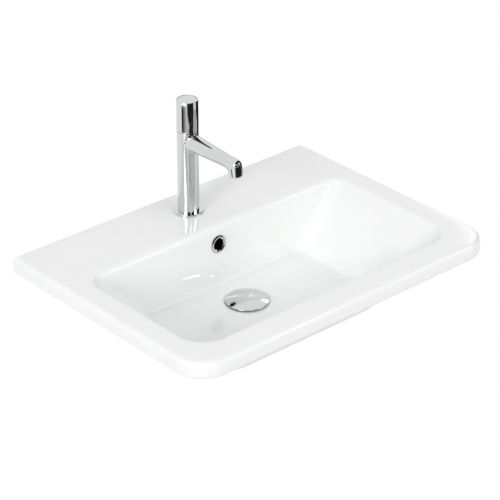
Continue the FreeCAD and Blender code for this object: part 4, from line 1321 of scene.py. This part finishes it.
# %% Plain finishes
PLAIN_FINISHES = (  # slot, material, two colours, roughness, grains to the metre, their depth
    ("brass", "turned_brass", (0.66, 0.46, 0.19), (0.78, 0.58, 0.28), 0.26, 900.0, 2e-5, 1.0, True),
    ("steel", "zinc_steel", (0.50, 0.51, 0.53), (0.62, 0.63, 0.64), 0.32, 1400.0, 1e-5, 1.0),
    ("rubber", "black_rubber", (0.020, 0.020, 0.022), (0.034, 0.034, 0.036), 0.62, 1800.0, 3e-5),
    ("dark_plastic", "dark_plastic", (0.030, 0.030, 0.033), (0.045, 0.045, 0.048), 0.42, 2500.0, 1e-5),
    ("white_plastic", "white_plastic", (0.74, 0.75, 0.73), (0.80, 0.81, 0.79), 0.38, 2500.0, 1e-5),
    ("disc_ceramic", "lapped_ceramic", (0.78, 0.75, 0.69), (0.86, 0.83, 0.77), 0.22, 3000.0, 5e-6),
    ("red", "red_enamel", (0.62, 0.016, 0.014), (0.70, 0.03, 0.02), 0.20, 900.0, 1e-5),
    ("blue", "blue_enamel", (0.012, 0.05, 0.42), (0.02, 0.08, 0.52), 0.20, 900.0, 1e-5),
)
TURNED_SCALE = (0.1, 0.1, 6.0)
WANDER_SCALE = 45.0
DARK_STOP, PALE_STOP = 0.3, 0.7
GRAIN_BUMP = 0.4
GRAIN_SHARE, GRAIN_MEAN = 0.15, 0.07  # of the grain in the roughness


def plain_finish(name, dark, pale, roughness, grain, depth, metallic=0.0, is_turned=False):
    """A finish between two colours, with a grain so many times finer than a metre."""
    material, make = new_material(name)
    place = make.add("ShaderNodeTexCoord", output="Object")
    if is_turned:
        place = make.add("ShaderNodeMapping", Vector=place, Scale=TURNED_SCALE)
    wander = make.add("ShaderNodeTexNoise", Vector=place, Scale=WANDER_SCALE, Detail=3.0)
    texture = make.add("ShaderNodeTexNoise", Vector=place, Scale=grain, Detail=2.0)
    stops = ((DARK_STOP, dark), (PALE_STOP, pale))
    colour = make.add("ShaderNodeValToRGB", {"stops": stops}, Fac=wander)
    surface = make.add("ShaderNodeBump", Height=texture, Strength=GRAIN_BUMP, Distance=depth)
    shader = make.add(
        "ShaderNodeBsdfPrincipled", Base_Color=colour, Metallic=metallic,
        Roughness=texture * GRAIN_SHARE + (roughness - GRAIN_MEAN), Normal=surface,
    )
    make.add("ShaderNodeOutputMaterial", Surface=shader)
    return material


finishes = {"glazed_ceramic": ceramic, "chrome": chrome}
for slot, *facts in PLAIN_FINISHES:
    finishes[slot] = plain_finish(*facts)
print("finishes", len(finishes))

# %% [markdown]
# Hardly any light reaches the overflow duct, so from outside its hole looks black. White glaze would
# pass too much light on from wall to wall, so the faces inside are painted near black and dull. This
# is painted shade, not a colour that the ceramic has.

# %% Painted shade inside the duct
# A near-black, dull colour that paints the shade inside the duct.
duct_shade_paint = plain_finish(
    "painted_duct_shade", (0.010, 0.010, 0.010), (0.018, 0.017, 0.016), 0.8, 700.0, 8e-5
)


def gets_painted_shade(middle):
    """Whether a face's middle is inside the duct or on the wall of the overflow hole, where the shade
    is painted.
    """
    across = abs(middle.x) < half_duct + HAIR
    behind_wall = wall_middle(RIM - middle.z) + HAIR < middle.y < duct_back + HAIR
    inside_duct = across and behind_wall and PASSAGE_LOW - HAIR < middle.z < DUCT_CEILING + HAIR
    around_hole = abs((middle - overflow_place).length - OVERFLOW_RADIUS) < OVERFLOW_RADIUS / 2
    return inside_duct or around_hole and middle.y > overflow_place.y + SMALL_EDGE / 2


basin.data.materials.clear()
basin.data.materials.append(ceramic)
basin.data.materials.append(duct_shade_paint)
# The faces in the duct and the overflow hole take the painted shade.
painted_shade_faces = [face for face in basin.data.polygons if gets_painted_shade(face.center)]
for face in basin.data.polygons:
    face.material_index = 0
for face in painted_shade_faces:
    face.material_index = 1
print("raw faces", len(painted_shade_faces))

# %% [markdown]
# A spring is wire that follows a helix, which is work for Geometry Nodes: a spiral curve gets a
# round section along it. The tree's inputs are the wire, the radius, the rise and the turns.

# %% Coil of wire
SPIRAL_POINTS, WIRE_POINTS = 32, 12


def helix_tree():
    """A coil of round wire, with four sizes as its inputs."""
    tree = bpy.data.node_groups.new("helix_spring", "GeometryNodeTree")
    make = Nodes(tree)
    tree.interface.new_socket("Geometry", in_out="OUTPUT", socket_type="NodeSocketGeometry")
    labels = ("Wire", "Radius", "Rise", "Turns")
    for label in labels:
        tree.interface.new_socket(label, in_out="INPUT", socket_type="NodeSocketFloat")
    sizes = {label: make.add("NodeGroupInput", output=label) for label in labels}
    path = make.add(
        "GeometryNodeCurveSpiral", Resolution=SPIRAL_POINTS, Rotations=sizes["Turns"],
        Start_Radius=sizes["Radius"], End_Radius=sizes["Radius"], Height=sizes["Rise"],
    )
    half_wire = sizes["Wire"] * 0.5
    ring = make.add("GeometryNodeCurvePrimitiveCircle", Resolution=WIRE_POINTS, Radius=half_wire)
    coil = make.add("GeometryNodeCurveToMesh", Curve=path, Profile_Curve=ring, Fill_Caps=True)
    real = make.add("GeometryNodeRealizeInstances", Geometry=coil)
    finish = make.add("GeometryNodeSetMaterial", Geometry=real, Material=finishes["steel"])
    make.add("NodeGroupOutput", Geometry=finish)
    return tree


helix = helix_tree()
print("tree", helix.name, "with", len(helix.nodes), "nodes")

# %% [markdown]
# There are two springs. One lifts the push button, and a thinner one lifts the plug. Each is a
# mesh of a single point, on which the tree puts its coil. The coil then becomes the mesh, and
# moves to its place.

# %% Springs
CLICK_COIL = {"wire": 0.6, "turns": 4}
BUTTON_COIL = {"wire": 0.8, "turns": 2}


def spring(name, node, wire, turns):
    """A coil of round wire between the heights and in the width of its node."""
    foot, size = foot_of(node)
    wire = wire * MM
    sizes = {"Wire": wire, "Radius": (size.x - wire) / 2, "Rise": size.z - wire}
    sizes["Turns"] = float(turns)
    piece = add_piece(name, [(0, 0, 0)], [])
    change = piece.modifiers.new("helix", "NODES")
    change.node_group = helix
    for socket in helix.interface.items_tree:
        if socket.name in sizes:
            change[socket.identifier] = sizes[socket.name]
    applied(piece)
    piece.data.transform(Matrix.Translation(foot + Vector((0, 0, wire / 2))))
    return tidy(piece)


click_coil = spring("click_coil", "click_spring", **CLICK_COIL)
button_coil = spring("button_coil", "button_spring", **BUTTON_COIL)
report(click_coil, button_coil)

# %% [markdown]
# Every piece now gets its body, the node that it stands for, and its finish. The rest of the
# nodes have the right shape already. A copy of each, with its loose triangles joined, shades
# smoothly and takes the node's finish.

# %% Bodies, nodes and finishes
slots = {sub["node"]: sub["material_slot"] for sub in frame["record"]["subparts"]}
behaviour = frame["record"]["behaviour"]
bodies = {name: body for body, names in behaviour["bodies"].items() for name in names}
made = {
    "basin": basin, "tap_body": tap_body, "base_ring": base_ring, "temperature_knob": knob,
    "push_button": button, "hot_mark": hot_dot, "cold_mark": cold_dot,
    "overflow_ring": overflow_trim, "plug_cover": plug_dome, "waste_body": waste_tail,
    "tap_shank": shank, "waste_nut": back_nut, "clamp_nut": tap_nut,
    "click_spring": click_coil, "button_spring": button_coil,
}


def stand_for(piece, node):
    """Lets a piece take the place, the body and the finish of a node."""
    if not piece.data.materials:
        piece.data.materials.append(finishes[slots[node]])
    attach(piece, bodies[node])
    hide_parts(node)


def joined_copy(node):
    """The node's own shape, with its triangles joined and its round faces smooth."""
    source = nodes[node].data
    points = [vertex.co[:] for vertex in source.vertices]
    faces = [tuple(face.vertices) for face in source.polygons]
    return tidy(add_piece(node + "_piece", points, faces))


for node in nodes:
    piece = made[node] if node in made else joined_copy(node)
    stand_for(piece, node)
print("pieces", len(nodes), "made here", len(made))

# %% [markdown]
# The push button stands on a spring, whose foot the knob carries. Here the script works out the share
# of the spring's length that stays when the button is pressed by its own travel, and the spring gets a
# mesh of its own.

# %% Share of the button's spring that stays when pressed
joints = {joint["name"]: joint for joint in behaviour["joints"]}
spring_low, spring_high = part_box("button_spring")
pressed = abs(joints["button_press"]["range_m"][0])
kept_share = 1 - pressed / (spring_high.z - spring_low.z)
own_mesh(button_coil)
print("the spring keeps", round(kept_share, 3))

# %% [markdown]
# Polished chrome looks like chrome because it mirrors both light and dark. In a studio, sheets
# stand round it for that. Most of these are dark, for the bands in the tap and the plug, and a
# few are bright, for thin lights there and on the glaze. Only mirrored rays see them, and only
# from their front, so the light on everything stays as it is. A sheet is made of rows of points,
# and its tone may change from its one side to the other.

# %% Sheets to mirror
SHEET_STEPS = 24
BLACK = (0.02, 0.02)
HIDDEN_FROM = ("camera", "diffuse", "shadow", "transmission")


def mirror_sheet(name, tones, rows):
    """A sheet through rows of points, which shows its tone on its front only."""
    wide = SHEET_STEPS + 1
    faces = []
    for row in range(len(rows) - 1):
        for start in range(row * wide, row * wide + SHEET_STEPS):
            faces.append((start, start + wide, start + wide + 1, start + 1))
    sheet = add_piece(name, [point for row in rows for point in row], faces)
    tone = sheet.data.attributes.new("tone", "FLOAT", "POINT")
    tone.data.foreach_set("value", list(np.linspace(*tones, wide)) * len(rows))
    material, make = new_material(name)
    shade = make.add("ShaderNodeAttribute", {"attribute_name": "tone"}, output="Fac")
    from_behind = make.add("ShaderNodeNewGeometry", output="Backfacing")
    glow = make.add("ShaderNodeEmission", Color=WHITE, Strength=shade)
    clear = make.add("ShaderNodeBsdfTransparent")
    mix = make.add("ShaderNodeMixShader", in_order=(from_behind, glow, clear))
    make.add("ShaderNodeOutputMaterial", Surface=mix)
    sheet.data.materials.append(material)
    for rays in HIDDEN_FROM:
        setattr(sheet, "visible_" + rays, False)


def fan(centre, elevation, distance, start, end):
    """A row of points at one distance from a centre, between two directions."""
    turns = np.linspace(start, end, SHEET_STEPS + 1)
    return [centre + direction(turn, elevation) * distance for turn in turns]


print("a sheet's row has", SHEET_STEPS + 1, "points")

# %% [markdown]
# Level sheets lie just above the rim, round the tap, and face up. The column and the lower side
# of the spout mirror them. Each row of such a sheet is a distance from the tap, and the two
# directions between which the sheet spans there.

# %% Level sheets
SHEET_RISE = 0.003
LEVEL_SHEETS = (
    ("left_black_sheet", (0.01, 0.02), ((0.310, -99, -85), (0.418, -99, -85))),
    ("left_grey_sheet", (0.04, 0.60), ((0.310, -85, -51), (0.418, -85, -51))),
    ("left_bright_sheet", (1.7, 1.7), ((0.420, -99, -46), (0.470, -99, -46))),
    ("front_sheet", BLACK, (
        (0.235, -24, 20), (0.300, -26, 18), (0.342, -20, 22), (0.392, -40, 26), (2.0, -40, 26),
    )),
    ("grey_sheet", (0.5, 0.5), ((0.300, 26, 70), (0.395, 26, 58))),
    ("right_sheet", BLACK, (
        (0.262, 75, 140), (0.342, 70, 140), (0.392, 58, 140), (2.0, 54, 140),
    )),
    ("nose_sheet", BLACK, ((0.450, 26, 54), (2.0, 26, 54))),
)

over_rim = TAP + Vector((0, 0, SHEET_RISE))
for name, tones, rows in LEVEL_SHEETS:
    mirror_sheet(name, tones, [fan(over_rim, 0, *row) for row in rows])
print("level sheets", len(LEVEL_SHEETS))

# %% [markdown]
# High sheets stand round the tap, each at one distance all over. Each row is an elevation and
# two directions. The dark ones give the knob and the spout their bands. The bright ones are
# small, and draw short lights along the glazed edges and on the plug.

# %% High sheets
SHEET_ROWS = 13
HIGH_SHEETS = (
    ("high_front_sheet", BLACK, 2.6, ((2, -52, 36), (80, -52, 36))),
    ("high_right_sheet", BLACK, 2.6, ((2, 60, 108), (80, 60, 108))),
    ("low_right_sheet", BLACK, 2.6, ((2, 36, 60), (22, 36, 60))),
    ("top_right_sheet", BLACK, 2.6, ((40, 36, 60), (80, 36, 60))),
    ("plug_streak_sheet", (2.2, 2.2), 12.0, ((22, 126, 130.5), (28, 119, 130), (36, 114, 122))),
    ("edge_line_sheet", (9.0, 9.0), 2.5, ((27, 24, 38), (32, 24, 38))),
    ("edge_spot_sheet", (8.0, 8.0), 2.5, ((25, 47, 49), (33, 47, 49))),
    ("corner_line_sheet", (8.0, 8.0), 2.5, ((28, -22, -8), (32, -22, -8))),
)

for name, tones, distance, rows in HIGH_SHEETS:
    given, starts, ends = zip(*rows)
    lines = []
    for rise in np.linspace(given[0], given[-1], SHEET_ROWS):
        span = np.interp(rise, given, starts), np.interp(rise, given, ends)
        lines.append(fan(TAP, rise, distance, *span))
    mirror_sheet(name, tones, lines)
print("high sheets", len(HIGH_SHEETS))

# %% [markdown]
# A thin dark line runs round the plug's rim. Two dark sheets lie low beside it, and only mirrored rays
# see them. The rim mirrors them as a painted dark reflection, which takes the place of the shade in
# the gap under the rim. Each row is a radius and a height above the waste's flange, and two
# directions.

# %% Sheets round the plug
PLUG_SHEETS = (
    ("plug_black_sheet", BLACK, ((35.6, 0.4, -275, -52), (47.0, 1.2, -275, -52))),
    ("plug_thin_sheet", BLACK, ((35.4, 0.4, -46, 25), (36.1, 0.6, -46, 25))),
)

for name, tones, rows in PLUG_SHEETS:
    lines = []
    for radius, height, start, end in rows:
        lines.append(fan(FLANGE_TOP + Vector((0, 0, height * MM)), 0, radius * MM, start, end))
    mirror_sheet(name, tones, lines)
print("sheets round the plug", len(PLUG_SHEETS))
